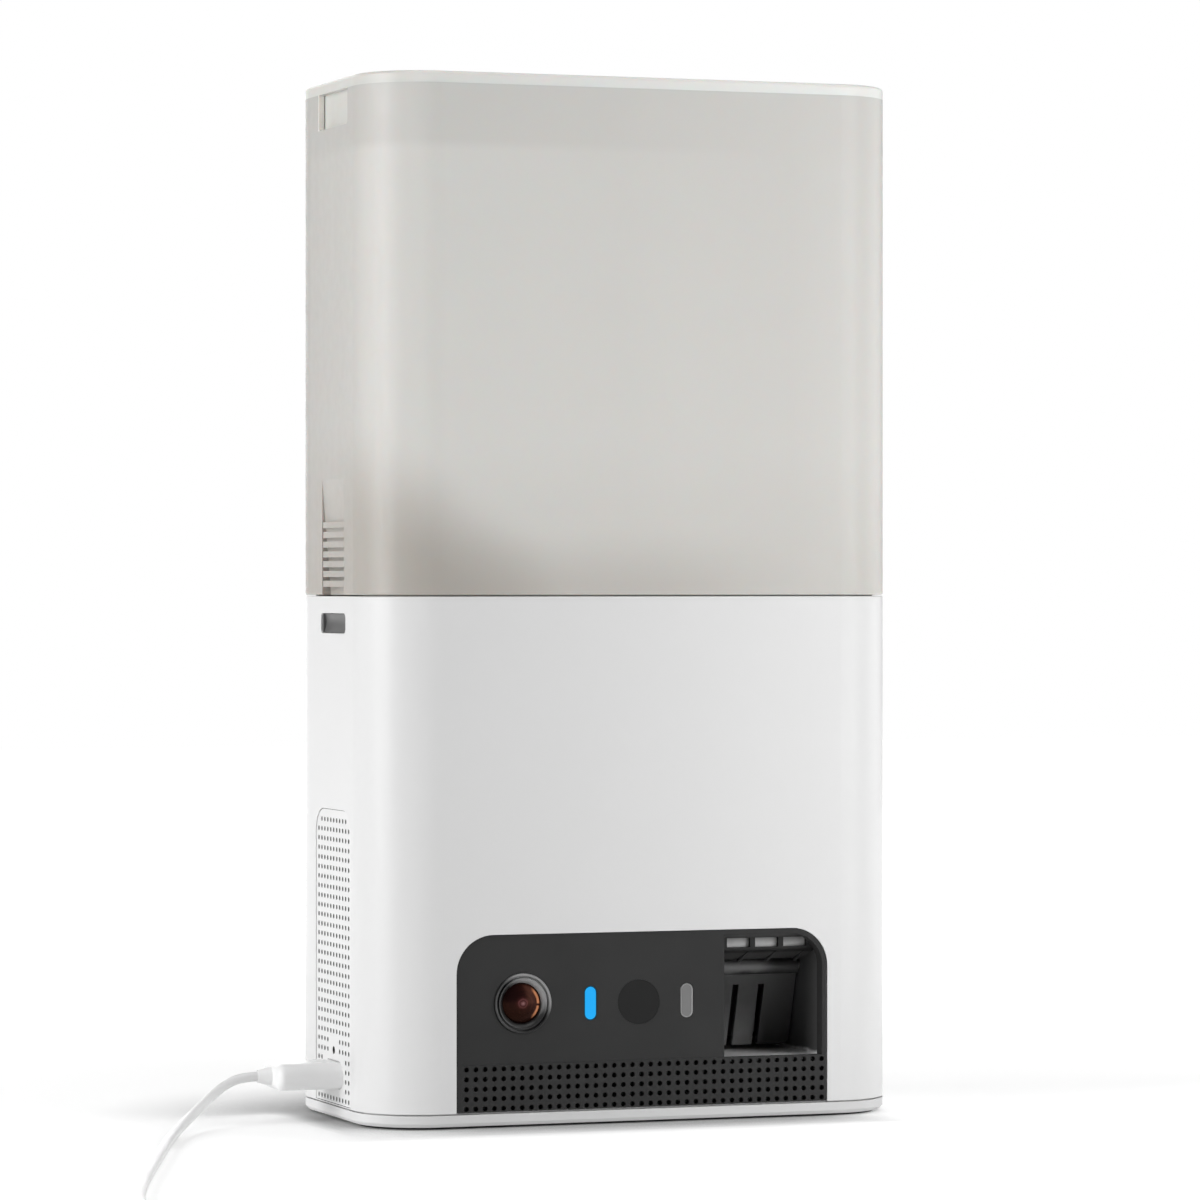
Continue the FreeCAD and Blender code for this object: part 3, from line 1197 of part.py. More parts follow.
# ---- Release buttons ------------------------------------------------------------------------
def left_button():
    """Cap with a finger scoop, a flange behind the wall, a stem and the spring's pin."""
    y = BUTTON_W / 2
    z = BUTTON_H / 2
    skin = -HALF_W + BUTTON_SET_BACK
    inner = -HALF_W + SHELL_WALL + 0.2
    behind = inner + 1.4
    points = rect(SIDE_Y - y, SIDE_Y + y, BUTTON_Z - z, BUTTON_Z + z)
    cap = prism(points, BUTTON_R, on_x(skin), V(inner - skin, 0, 0))
    side = y - 1.15
    scoop = rod(V(skin + SCOOP_DEPTH - SCOOP_R, SIDE_Y - side, BUTTON_Z + 0.3), Y_DIR, SCOOP_R, 2 * side)
    wide = y + BUTTON_FLANGE
    flange = box(inner, behind, SIDE_Y - wide, SIDE_Y + wide, DECK_TOP + 0.2, BUTTON_Z + z + 1.5)
    half = BUTTON_STEM_W / 2
    stem = box(behind, STEM_END, SIDE_Y - half, SIDE_Y + half, DECK_TOP + 0.4, BUTTON_Z + 2)
    pin = rod(V(STEM_END, SIDE_Y, BUTTON_Z), X_DIR, 1.0, 3.5)
    return fuse([cap.cut(scoop), flange, stem, pin])


def left_button_spring():
    spring = coil_spring(1.7, 0.45, 5, SPRING_POST_X - STEM_END - 0.2)
    spring.rotate(V(0, 0, 0), Y_DIR, 90)
    spring.translate(V(STEM_END + 0.1, SIDE_Y, BUTTON_Z))
    return spring


# ---- Reservoir and lid ------------------------------------------------------------------------
def grip_pad(side, spread):
    """Thicker wall behind a grip recess, on the reservoir's inside."""
    x = HALF_W - RES_WALL
    depth = GRIP_DEPTH + 0.4 + spread
    y = GRIP_W / 2 + 1.5 + spread
    pad = box(x - depth, x + 0.2, SIDE_Y - y, SIDE_Y + y, RES_Z0, GRIP_TOP + spread)
    return pad if side > 0 else mirror_x(pad)


def grip_recess():
    """Wedge that grows deeper downwards, with ribs that stand flush with the skin."""
    y0 = SIDE_Y - GRIP_W / 2
    x = -HALF_W
    deep = x + GRIP_DEPTH
    under = RES_Z0 - 1
    wedge = [(x - 1, GRIP_TOP), (x, GRIP_TOP), (deep, RES_Z0), (deep, under), (x - 1, under)]
    cut = prism(wedge, 0, on_y(y0), V(0, GRIP_W, 0))
    for i in range(GRIP_RIBS):
        z = SEAM_Z + GRIP_RIB_RISE + i * GRIP_RIB_PITCH
        cut = cut.cut(box(x + 0.1, deep + 1, y0 + 0.4, y0 + GRIP_W - 0.4, z, z + GRIP_RIB_T))
    return cut


def lid_notch():
    y = NOTCH_W / 2
    points = rect(SIDE_Y - y, SIDE_Y + y, RES_TOP - NOTCH_H, RES_TOP + 1)
    return prism(points, [1.2, 1.2, 0, 0], on_x(-HALF_W - 1), V(RES_WALL + 2, 0, 0))


def reservoir():
    """Clear sleeve with a grip recess low on each side and a finger notch under the lid."""
    shell = body_block(0, RES_Z0, RES_TOP)
    shell = shell.makeFillet(EDGE_SOFT, edges_at(shell, RES_Z0))
    shell = shell.cut(body_block(RES_WALL, RES_Z0 - 1, RES_TOP + 1))
    shell = fuse([shell, grip_pad(-1, 0), grip_pad(1, 0)])
    for cutter in (grip_recess(), lid_notch()):
        shell = shell.cut(cutter).cut(mirror_x(cutter))
    return shell


def reservoir_base():
    """Floor inside the sleeve, with two rims under it that drop into the housing."""
    floor = body_block(RES_WALL, RES_Z0, RES_FLOOR)
    rim = tube_block(SHELL_WALL + RIM_GAP, RIM_T, DECK_TOP, RES_Z0)
    side_y = HALF_D - CORNER_R
    rim = rim.cut(box(-HALF_W, HALF_W, -side_y, side_y, DECK_TOP - 1, RES_Z0 + 1))
    tray = fuse([floor] + rim.Solids)
    for side in (-1, 1):
        tray = tray.cut(grip_pad(side, 0))
    tray = tray.cut(rod(V(OUTLET_X, OUTLET_Y, RES_Z0 - 1), Z_DIR, OUTLET_R, RES_FLOOR_T + 2))
    return tray.cut(rod(V(ROTOR_X, 0, RES_Z0 - 1), Z_DIR, HUB_COLLAR_R, RES_FLOOR_T + 2))


def lid():
    plate = body_block(0, RES_TOP, BODY_H)
    plate = plate.makeFillet(LID_SOFT, edges_at(plate, BODY_H))
    inset = RES_WALL + LID_GAP
    skirt = tube_block(inset, LID_SKIRT_T, RES_TOP - LID_SKIRT_H, RES_TOP)
    groove = tube_block(inset - 1, 1 + SEAL_DEEP, SEAL_Z, SEAL_Z + SEAL_H)
    recess = body_block(inset + LID_SKIRT_T, RES_TOP - 1, RES_TOP + 1.2)
    return fuse([plate, skirt]).cut(groove).cut(recess)


def lid_seal():
    return tube_block(RES_WALL + SEAL_FREE, LID_GAP + SEAL_DEEP - SEAL_FREE, SEAL_Z, SEAL_Z + SEAL_H)


# ---- Plug and cable ------------------------------------------------------------------------------
def usb_plug():
    y = PLUG_W / 2
    z = PLUG_H / 2
    points = rect(SIDE_Y - y, SIDE_Y + y, USB_Z - z, USB_Z + z)
    grip = prism(points, z - 0.3, on_x(PLUG_END_X), V(INLET_X + 0.3 - PLUG_END_X, 0, 0))
    outer = [e for e in grip.Edges if e.BoundBox.XMax < PLUG_END_X + 1e-3]
    grip = grip.makeFillet(1.8, outer)
    thin = CABLE_R + 0.35
    end = -RELIEF_L
    profile = [(0, 0.5), (2.5, 0.5), (2.3, -1), (thin + 0.1, end + 0.5), (thin, end), (0, end)]
    relief = turned(profile, V(PLUG_END_X, SIDE_Y, USB_Z), X_DIR)
    tip = usb_outline(8.34, 2.56, INLET_X, INLET_X + 7)
    hollow = usb_outline(7.7, 1.9, INLET_X + 1, INLET_X + 8)
    return fuse([grip, relief, tip]).cut(hollow)


def rounded_path(points):
    """Straight runs joined by tangent arcs, each as large as its two runs allow."""
    spots = [V(*p) for p in points]
    edges = []
    radii = []
    at = spots[0]
    for before, here, after in zip(spots, spots[1:], spots[2:]):
        to_a = before - here
        to_b = after - here
        short = min(to_a.Length, to_b.Length)
        to_a.normalize()
        to_b.normalize()
        half = to_a.getAngle(to_b) / 2
        reach = 0.45 * short
        radius = reach * math.tan(half)
        inward = (to_a + to_b).normalize()
        middle = here + inward * (radius / math.sin(half) - radius)
        start = here + to_a * reach
        end = here + to_b * reach
        edges.append(Part.LineSegment(at, start).toShape())
        edges.append(Part.Arc(start, middle, end).toShape())
        radii.append(radius)
        at = end
    edges.append(Part.LineSegment(at, spots[-1]).toShape())
    return Part.Wire(edges), radii


def cable_tube(name, points):
    path, radii = rounded_path(points)
    start = V(*points[0])
    heading = (V(*points[1]) - start).normalize()
    ring = Part.Wire(Part.makeCircle(CABLE_R, start, heading))
    tube = path.makePipeShell([ring], True, False)
    wanted = math.pi * CABLE_R**2 * path.Length
    print(name, "radii", [round(r, 1) for r in radii], "length", round(path.Length, 1))
    print(name, "volume / section x length", round(tube.Volume / wanted, 4))
    return tube


def coil_half_width():
    return COIL_COLUMNS * CABLE_R


def cable_coil():
    inner = COIL_MEAN_R - coil_half_width()
    outer = COIL_MEAN_R + coil_half_width()
    top = COIL_LIFT + 2 * CABLE_R * COIL_LAYERS
    profile = [(inner, COIL_LIFT + 1), (inner, top - 1), (inner + 1, top), (outer - 1, top)]
    profile += [(outer, top - 1), (outer, COIL_LIFT + 1), (outer - 1, COIL_LIFT), (inner + 1, COIL_LIFT)]
    turns = (CABLE_LENGTH - CABLE_SHOWN) / (2 * math.pi * COIL_MEAN_R)
    print("coil turns about", round(turns, 2), "of", COIL_COLUMNS * COIL_LAYERS)
    return turned(profile, V(COIL_X, COIL_Y, 0), Z_DIR)


def cable_tie():
    """Band round the turns, on the coil's right side."""
    inner = COIL_X + COIL_MEAN_R - coil_half_width()
    outer = COIL_X + COIL_MEAN_R + coil_half_width()
    top = COIL_LIFT + 2 * CABLE_R * COIL_LAYERS
    y = COIL_Y - TIE_W / 2
    x0 = inner - TIE_ROOM
    x1 = outer + TIE_FREE
    z1 = top + TIE_FREE
    band = prism(rect(x0 - TIE_T, x1 + TIE_T, 0, z1 + TIE_T), 1.2, on_y(y), V(0, TIE_W, 0))
    hole = prism(rect(x0, x1, TIE_T, z1), 0.8, on_y(y - 1), V(0, TIE_W + 2, 0))
    return band.cut(hole)


def end_plug():
    """Flat plug on the far end, lying on the surface beside the coil."""
    x0, y, z = TAIL_POINTS[-1]
    w = END_PLUG_W / 2
    h = END_PLUG_H / 2
    grip_x = x0 + END_PLUG_NECK
    grip = prism(rect(y - w, y + w, z - h, z + h), 1.8, on_x(grip_x), V(END_PLUG_L, 0, 0))
    neck = END_PLUG_NECK + 0.2
    relief = turned([(0, 0), (CABLE_R + 0.4, 0), (2.6, neck), (0, neck)], V(x0, y, z), X_DIR)
    tip_x = grip_x + END_PLUG_L
    end_x = tip_x + END_TIP_L
    w = END_TIP_W / 2
    h = END_TIP_H / 2
    wall = END_TIP_WALL
    tip = box(tip_x - 1, end_x, y - w, y + w, z - h, z + h)
    tip = tip.cut(box(tip_x + 1, end_x + 1, y - w + wall, y + w - wall, z - h + 2.2, z + h - wall))
    for side in (-1, 1):
        spot = y + side * 2.6
        tip = tip.cut(box(tip_x + 4.5, tip_x + 7, spot - 1.2, spot + 1.2, z + h - 1, z + h + 1))
    return fuse([grip, relief, tip])


# ---- Nodes ------------------------------------------------------------------------------------
def make_parts():
    button = left_button()
    spring = left_button_spring()
    return {
        "rubber_foot": rubber_foot(),
        "base_plate": base_plate(),
        "housing": housing(),
        "front_panel": front_panel(),
        "speaker_grille": speaker_grille(),
        "side_grille": side_grille(),
        "lens_ring": lens_ring(),
        "lens_tube": lens_tube(),
        "lens_glass": lens_glass(),
        "camera_board": camera_board(),
        "status_light": status_light(),
        "sensor_window": sensor_window(),
        "infrared_window": infrared_window(),
        "indicator_board": indicator_board(),
        "speaker": speaker(),
        "main_board": main_board(),
        "power_board": power_board(),
        "usb_socket": usb_socket(),
        "reset_switch": reset_switch(),
        "reset_button": reset_button(),
        "launch_chamber": launch_chamber(),
        "mouth_hood": mouth_hood(),
        "hood_strip": hood_strip(),
        "drop_chute": drop_chute(),
        "exit_flap": exit_flap(),
        "flap_pin": flap_pin(),
        "flap_spring": flap_spring(),
        "launch_paddle": launch_paddle(),
        "paddle_shaft": paddle_shaft(),
        "paddle_gear": paddle_gear(),
        "paddle_spring": paddle_spring(),
        "drive_gear": drive_gear(),
        "drive_shaft": drive_shaft(),
        "launch_motor": launch_motor(),
        "top_deck": top_deck(),
        "feeder_motor": feeder_motor(),
        "feeder_shaft": feeder_shaft(),
        "drive_dog": drive_dog(),
        "feeder_rotor": feeder_rotor(),
        "hopper_floor": hopper_floor(),
        "outlet_guard": outlet_guard(),
        "reservoir": reservoir(),
        "reservoir_base": reservoir_base(),
        "lid": lid(),
        "lid_seal": lid_seal(),
        "release_button_left": button,
        "release_button_right": mirror_x(button),
        "button_spring_left": spring,
        "button_spring_right": mirror_x(spring),
        "base_screws": base_screws(),
        "deck_screws": deck_screws(),
        "usb_plug": usb_plug(),
        "power_cable": cable_tube("power_cable", CABLE_POINTS),
        "cable_coil": cable_coil(),
        "cable_tie": cable_tie(),
        "cable_tail": cable_tube("cable_tail", TAIL_POINTS),
        "end_plug": end_plug(),
    }


def main():
    os.makedirs("parts", exist_ok=True)
    parts = make_parts()
    for name, shape in parts.items():
        state = "ok" if shape.isValid() else "INVALID"
        print(f"{name:22s} solids {len(shape.Solids)} volume {shape.Volume:10.1f} {state}")
        shape.exportStep(f"parts/{name}.step")
    print(len(parts), "nodes")


main()
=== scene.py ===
import json
import math
from functools import reduce

import bpy
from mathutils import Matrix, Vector
from mathutils.geometry import delaunay_2d_cdt


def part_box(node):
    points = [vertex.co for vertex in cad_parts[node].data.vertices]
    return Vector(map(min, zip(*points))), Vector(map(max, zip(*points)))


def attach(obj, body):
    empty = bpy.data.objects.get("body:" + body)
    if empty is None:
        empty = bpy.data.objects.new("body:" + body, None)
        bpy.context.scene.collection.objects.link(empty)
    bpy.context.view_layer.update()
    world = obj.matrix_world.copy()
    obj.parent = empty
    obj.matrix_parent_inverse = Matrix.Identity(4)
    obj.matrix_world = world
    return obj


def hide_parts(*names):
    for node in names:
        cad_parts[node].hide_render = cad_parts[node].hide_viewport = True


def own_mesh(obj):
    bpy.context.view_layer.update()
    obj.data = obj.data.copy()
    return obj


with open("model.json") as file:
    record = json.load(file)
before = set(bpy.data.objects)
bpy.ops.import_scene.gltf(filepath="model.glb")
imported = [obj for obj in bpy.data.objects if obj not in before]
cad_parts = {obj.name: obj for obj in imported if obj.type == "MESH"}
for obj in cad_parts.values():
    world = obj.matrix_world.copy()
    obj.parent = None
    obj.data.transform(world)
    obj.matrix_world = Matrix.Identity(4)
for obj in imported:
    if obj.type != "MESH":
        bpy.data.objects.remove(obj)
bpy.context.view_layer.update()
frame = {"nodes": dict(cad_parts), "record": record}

# Treat tossing pet camera. Metres unless a comment says mm, +Z up, front towards -Y.

MM = 0.001
NODES = frame["nodes"]


def add_object(name, data):
    made = bpy.data.objects.new(name, data)
    bpy.context.scene.collection.objects.link(made)
    return made


def clamp(value):
    return min(max(value, 0.0), 1.0)


# ---- Camera -----------------------------------------------------------------------
IMAGE_WIDTH = 1200.0
FOCAL_PX = 5402.4
SENSOR_MM = 36.0
CLIP_END = 20.0
VIEW_TURN = math.radians(20.015)
VIEW_PITCH = math.radians(0.2135)
EYE_ACROSS = 1.54 * MM
EYE_AWAY = 1429.96 * MM
EYE_HEIGHT = 140.22 * MM


def add_camera():
    """Camera at the left of the front, almost level."""
    data = bpy.data.cameras.new("camera")
    data.sensor_width = SENSOR_MM
    data.lens = FOCAL_PX / IMAGE_WIDTH * SENSOR_MM
    data.clip_end = CLIP_END
    camera = add_object("camera", data)
    across = Vector((math.cos(VIEW_TURN), -math.sin(VIEW_TURN), 0))
    ahead = Vector((math.sin(VIEW_TURN), math.cos(VIEW_TURN), 0))
    camera.location = across * EYE_ACROSS - ahead * EYE_AWAY + Vector((0, 0, EYE_HEIGHT))
    camera.rotation_euler = (math.radians(90) - VIEW_PITCH, 0, -VIEW_TURN)
    bpy.context.scene.camera = camera


# ---- Power cable --------------------------------------------------------------------
CABLE_D = 2.6 * MM
CABLE_POINTS = [
    (-0.0935, -0.0024, 0.0119),
    (-0.0975, -0.0024, 0.0119),
    (-0.1030, -0.0041, 0.0101),
    (-0.1085, -0.0090, 0.0071),
    (-0.1145, -0.0165, 0.0043),
    (-0.1203, -0.0265, 0.0024),
    (-0.1260, -0.0385, 0.0014),
    (-0.1320, -0.0545, 0.0013),
    (-0.1390, -0.0750, 0.0013),
    (-0.1470, -0.0980, 0.0013),
    (-0.1556, -0.1230, 0.0013),
    (-0.1640, -0.1485, 0.0013),
    (-0.1715, -0.1740, 0.0013),
    (-0.1764, -0.2000, 0.0013),
    (-0.1789, -0.2270, 0.0013),
    (-0.1796, -0.2540, 0.0016),
    (-0.1793, -0.2800, 0.0020),
]
COIL_CENTRE = (-0.1585, -0.2800)
COIL_MEAN_R = 15.6 * MM
COIL_COLUMNS = 5
COIL_LAYERS = 3
COIL_LIFT = 0.7 * MM
COIL_STEPS = 16
CLIMB_TURNS = 0.7  # turns in which the cable climbs from one layer to the next
TAIL_POINTS = [
    (-0.1688, -0.2820, 0.0072),
    (-0.1692, -0.2896, 0.0096),
    (-0.1642, -0.2976, 0.0103),
    (-0.1555, -0.3032, 0.0099),
    (-0.1453, -0.3048, 0.0070),
    (-0.1360, -0.3030, 0.0045),
    (-0.1270, -0.3030, 0.0045),
]


def coil_points():
    """Turns from the coil's outside at the bottom, layer on layer, to its inside at the top."""
    half = (COIL_COLUMNS - 1) / 2 * CABLE_D
    steps = COIL_COLUMNS * COIL_LAYERS * COIL_STEPS
    points = []
    # The first step and the last two make room for the route's own points.
    for i in range(1, steps - 2):
        turn = i / COIL_STEPS
        layer = min(int(turn / COIL_COLUMNS), COIL_LAYERS - 1)
        within = turn - layer * COIL_COLUMNS
        inward = min(within / (COIL_COLUMNS - 1), 1.0)
        if layer % 2:
            inward = 1.0 - inward
        radius = COIL_MEAN_R + half * (1.0 - 2.0 * inward)
        rise = 0.0
        if layer < COIL_LAYERS - 1:
            rise = clamp((within - (COIL_COLUMNS - 1)) / CLIMB_TURNS)
        angle = math.pi + 2 * math.pi * turn
        x = COIL_CENTRE[0] + radius * math.cos(angle)
        y = COIL_CENTRE[1] + radius * math.sin(angle)
        points.append((x, y, COIL_LIFT + CABLE_D / 2 + CABLE_D * (layer + rise)))
    return points


def add_cord(material):
    data = bpy.data.curves.new("cord", "CURVE")
    data.dimensions = "3D"
    data.bevel_depth = CABLE_D / 2
    data.bevel_resolution = 5
    data.resolution_u = 6
    data.use_fill_caps = True
    points = CABLE_POINTS + coil_points() + TAIL_POINTS
    spline = data.splines.new("NURBS")
    spline.points.add(len(points) - 1)
    for point, at in zip(spline.points, points):
        point.co = (*at, 1.0)
    spline.order_u = 3
    spline.use_endpoint_u = True
    cord = add_object("cord", data)
    data.materials.append(material)
    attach(cord, "base")
    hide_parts("power_cable", "cable_coil", "cable_tail")


# ---- Material helpers ------------------------------------------------------------------
NOISE_MIDDLE = (0.3, 0.7)  # a noise seldom leaves this range
MIX_COLOURS = (6, 7)  # places of the two colours among a mix node's inputs
MIX_RESULT = 2  # place of the mixed colour among its outputs
# A share's values at the two ends of a range
RISE = (0.0, 1.0)
FALL = (1.0, 0.0)


class Nodes:
    """Short calls for building a node tree."""

    def __init__(self, tree):
        self.tree = tree
        self.coordinates = None

    def add(self, kind, **settings):
        node = self.tree.nodes.new(kind)
        for key, value in settings.items():
            setattr(node, key, value)
        return node

    def link(self, out, into):
        self.tree.links.new(out, into)

    def place(self):
        if self.coordinates is None:
            self.coordinates = self.add("ShaderNodeTexCoord").outputs["Object"]
        return self.coordinates

    def axis(self, name):
        node = self.add("ShaderNodeSeparateXYZ")
        self.link(self.place(), node.inputs[0])
        return node.outputs[name]

    def noise(self, scale, detail=3.0, roughness=0.5):
        node = self.add("ShaderNodeTexNoise")
        node.inputs["Scale"].default_value = scale
        node.inputs["Detail"].default_value = detail
        node.inputs["Roughness"].default_value = roughness
        self.link(self.place(), node.inputs["Vector"])
        return node.outputs["Fac"]

    def span(self, value, ends, to=RISE, smooth=True):
        """Value laid from one range onto another, and held at its ends."""
        kind = "SMOOTHSTEP" if smooth else "LINEAR"
        node = self.add("ShaderNodeMapRange", interpolation_type=kind)
        self.link(value, node.inputs["Value"])
        for key, number in zip(("From Min", "From Max", "To Min", "To Max"), (*ends, *to)):
            node.inputs[key].default_value = number
        return node.outputs["Result"]

    def wander(self, low, high, scale, detail):
        """Number that wanders between low and high over the surface."""
        return self.span(self.noise(scale, detail), NOISE_MIDDLE, (low, high))

    def maths(self, operation, *values):
        node = self.add("ShaderNodeMath", operation=operation)
        for socket, value in zip(node.inputs, values):
            if isinstance(value, (int, float)):
                socket.default_value = value
            else:
                self.link(value, socket)
        return node.outputs[0]

    def chain(self, operation, *values):
        """One math node after another, for more than two values."""
        return reduce(lambda one, other: self.maths(operation, one, other), values)

    def in_mm(self, value):
        return self.maths("MULTIPLY", value, 1 / MM)

    def mix(self, share, one, other):
        node = self.add("ShaderNodeMix", data_type="RGBA")
        self.link(share, node.inputs["Factor"])
        for place, value in zip(MIX_COLOURS, (one, other)):
            if isinstance(value, tuple):
                node.inputs[place].default_value = (*value, 1.0)
            else:
                self.link(value, node.inputs[place])
        return node.outputs[MIX_RESULT]

    def ramp(self, value, stops):
        """Colour read off a row of (place, colour) stops."""
        first, last = stops[0][0], stops[-1][0]
        node = self.add("ShaderNodeValToRGB")
        elements = node.color_ramp.elements
        while len(elements) < len(stops):
            elements.new(0.5)
        for element, (at, colour) in zip(elements, stops):
            element.position = (at - first) / (last - first)
            element.color = (*colour, 1.0)
        self.link(self.span(value, (first, last), smooth=False), node.inputs["Fac"])
        return node.outputs["Color"]


class Surface(Nodes):
    """A material's nodes, with calls that feed its Principled shader."""

    def __init__(self, name):
        self.material = bpy.data.materials.new(name)
        self.material.use_nodes = True
        super().__init__(self.material.node_tree)
        self.shader = self.tree.nodes["Principled BSDF"]

    def feed(self, socket, value):
        self.link(value, self.shader.inputs[socket])

    def colour(self, value):
        self.feed("Base Color", value)

    def drift(self, low, high, scale=14.0, detail=2.0):
        """Colour that drifts between two near ones."""
        return self.mix(self.noise(scale, detail), low, high)

    def gloss(self, low, high, scale=60.0, detail=4.0):
        """Roughness that wanders between low and high."""
        self.feed("Roughness", self.wander(low, high, scale, detail))

    def grain(self, scale, strength, depth, detail=3.0, roughness=0.5):
        """Fine bump, its depth in mm."""
        node = self.add("ShaderNodeBump")
        node.inputs["Strength"].default_value = strength
        node.inputs["Distance"].default_value = depth * MM
        self.link(self.noise(scale, detail, roughness), node.inputs["Height"])
        self.feed("Normal", node.outputs["Normal"])

    def moulded_finish(self, low, high, scale=2600.0, depth=0.02):
        """Uneven gloss and the eroded grain of moulded plastic."""
        self.gloss(low, high)
        self.grain(scale, 0.35, depth, 4.0, 0.6)

    def set(self, **sockets):
        """Values that are the same all over, by socket name with _ for each space."""
        for key, value in sockets.items():
            socket = self.shader.inputs[key.replace("_", " ")]
            socket.default_value = (*value, 1.0) if isinstance(value, tuple) else value


def srgb(*levels):
    """Linear colour of 8-bit sRGB levels."""
    shares = [level / 255 for level in levels]
    return tuple(s / 12.92 if s <= 0.04045 else ((s + 0.055) / 1.055) ** 2.4 for s in shares)


def grey(level):
    return srgb(level, level, level)


# ---- Plain materials ---------------------------------------------------------------------
ROUGHNESS_SPREAD = 0.04


def moulded(name, low, high, roughness, grain=2600.0, depth=0.02, gloss=0.5):
    """Moulded plastic: slight colour drift, uneven gloss and a fine eroded grain."""
    look = Surface(name)
    look.colour(look.drift(low, high))
    look.moulded_finish(roughness - ROUGHNESS_SPREAD, roughness + ROUGHNESS_SPREAD, grain, depth)
    look.set(Specular_IOR_Level=gloss)
    return look.material


def gloss_white():
    look = Surface("gloss_white")
    look.colour(look.drift(grey(225), grey(228), 9.0))
    look.gloss(0.33, 0.37, 40.0, 3.0)
    look.grain(900.0, 0.2, 0.006)
    look.set(Specular_IOR_Level=0.38)
    return look.material


def rubber():
    look = Surface("rubber")
    look.colour(look.drift(grey(38), grey(52), 120.0, 4.0))
    look.gloss(0.75, 0.9, 200.0, 3.0)
    look.grain(2400.0, 0.5, 0.05, 4.0)
    return look.material


def steel():
    look = Surface("steel")
    look.colour(look.drift(grey(176), grey(200), 90.0, 3.0))
    look.gloss(0.22, 0.38, 700.0, 3.0)
    look.grain(1800.0, 0.2, 0.01)
    look.set(Metallic=1.0)
    return look.material


def board():
    """Green circuit board, with sharp patches for its copper."""
    look = Surface("board")
    copper = look.span(look.noise(380.0, 2.0), (0.47, 0.53))
    look.colour(look.mix(copper, srgb(18, 84, 52), srgb(28, 108, 66)))
    look.gloss(0.3, 0.5, 250.0, 3.0)
    look.grain(500.0, 0.3, 0.04, 2.0)
    look.set(Coat_Weight=0.3)
    return look.material


def glowing(name, body, light, strength, roughness):
    """Window lit from behind: body and light are each a pair of near colours."""
    look = Surface(name)
    look.colour(look.drift(*body, 400.0))
    look.feed("Emission Color", look.drift(*light, 300.0))
    look.set(Emission_Strength=strength, Roughness=roughness, Specular_IOR_Level=0.2)
    return look.material


def status_light():
    body = (srgb(4, 40, 84), srgb(8, 48, 96))
    light = (srgb(14, 168, 240), srgb(22, 176, 246))
    return glowing("status_blue", body, light, 0.95, 0.45)


def status_rim():
    body = (srgb(8, 46, 62), srgb(12, 56, 74))
    light = (srgb(6, 60, 84), srgb(10, 70, 96))
    return glowing("status_edge", body, light, 0.6, 0.5)


# ---- Frosted reservoir ---------------------------------------------------------------------
# Level of the wall by place in mm, with painted shade and highlight: across the front by X, along the left
# flank by Y
FRONT_LEVELS = [
    (-73.0, 198), (-71.0, 202), (-69.2, 199), (-66.0, 212), (-60.0, 221), (-53.0, 224), (-23.0, 219),
    (-6.0, 215), (10.0, 213), (27.0, 209), (41.0, 206), (60.0, 207), (73.0, 210),
]
FLANK_LEVELS = [
    (-29.0, 205), (-25.7, 204), (-22.6, 201), (-19.5, 197), (-10.0, 193), (0.0, 192), (10.0, 190),
    (17.5, 188), (22.0, 173), (30.0, 173),
]
FLANK_X = (-71.6 * MM, -70.2 * MM)

# Painted shade of the hopper behind the wall. Its steep slope ends above at an edge that passes through a
# point and falls to the right.
HOPPER_SHADE = srgb(172, 167, 160)
EDGE_X = -57.5 * MM
EDGE_Z = 175.8 * MM
EDGE_FALL = -0.722
EDGE_WANDER = 2.0 * MM
# How strongly each part of it shows: a range of places and the shares at its two ends
HAZE_BY_Z = (152.0 * MM, 178.0 * MM), (0.14, 0.0)
FOOT_BY_Z = (137.0 * MM, 156.0 * MM), (0.5, 0.0)
FOOT_BY_X = (2.0 * MM, 50.0 * MM), (1.0, 0.25)
STEEP_BY_HEIGHT = (-34.0 * MM, 0.0), (0.92, 0.0)
STEEP_BY_X = (-38.0 * MM, -16.0 * MM), (1.0, 0.1)
STEEP_BY_Y = (-34.0 * MM, 34.0 * MM), (1.0, 0.35)

# Painted shade of the lid's skirt behind the rim, and a painted highlight on the side of the notch that
# the lid's tab sits in
SKIRT_BY_Z = (249.5 * MM, 253.0 * MM), (0.0, 0.5)
SKIRT_X = (-70.0 * MM, -62.0 * MM)
SKIRT_FLANK = srgb(182, 180, 176)
SKIRT_FRONT = srgb(206, 204, 200)
JAMB_Y = 10.1 * MM
JAMB_HALF = (0.3 * MM, 0.6 * MM)
JAMB_X = (-70.0 * MM, -69.0 * MM)
JAMB_Z = (257.4 * MM, 257.8 * MM)
JAMB_PAINTED_HIGHLIGHT = srgb(236, 234, 228)


def wall_painted_shade_and_highlight(look, x, y):
    """Warm grey by place, with painted shade and highlight, in a row of stops for the front and one for
    the left flank.
    """
    front, flank = (
        look.ramp(look.in_mm(value), [(at, srgb(level, level - 2, level - 6)) for at, level in levels])
        for value, levels in ((x, FRONT_LEVELS), (y, FLANK_LEVELS))
    )
    return look.mix(look.span(x, FLANK_X, FALL), front, flank)


def hopper_painted_shade(look, x, y, z, wall):
    """Painted shade where the hopper stands behind the wall: a thin haze, its foot, and its steep slope on
    the left.
    """
    haze = look.span(z, *HAZE_BY_Z)
    foot = look.maths("MULTIPLY", look.span(z, *FOOT_BY_Z), look.span(x, *FOOT_BY_X))
    fall = look.maths("MULTIPLY", look.maths("ADD", x, -EDGE_X), EDGE_FALL)
    above = look.maths("SUBTRACT", z, look.maths("ADD", fall, EDGE_Z))
    above = look.maths("ADD", above, look.wander(-EDGE_WANDER, EDGE_WANDER, 22.0, 2.0))
    steep = look.chain(
        "MULTIPLY",
        look.span(above, *STEEP_BY_HEIGHT),
        look.span(x, *STEEP_BY_X),
        look.span(y, *STEEP_BY_Y),
    )
    for share in (haze, foot, steep):
        wall = look.mix(share, wall, HOPPER_SHADE)
    return wall


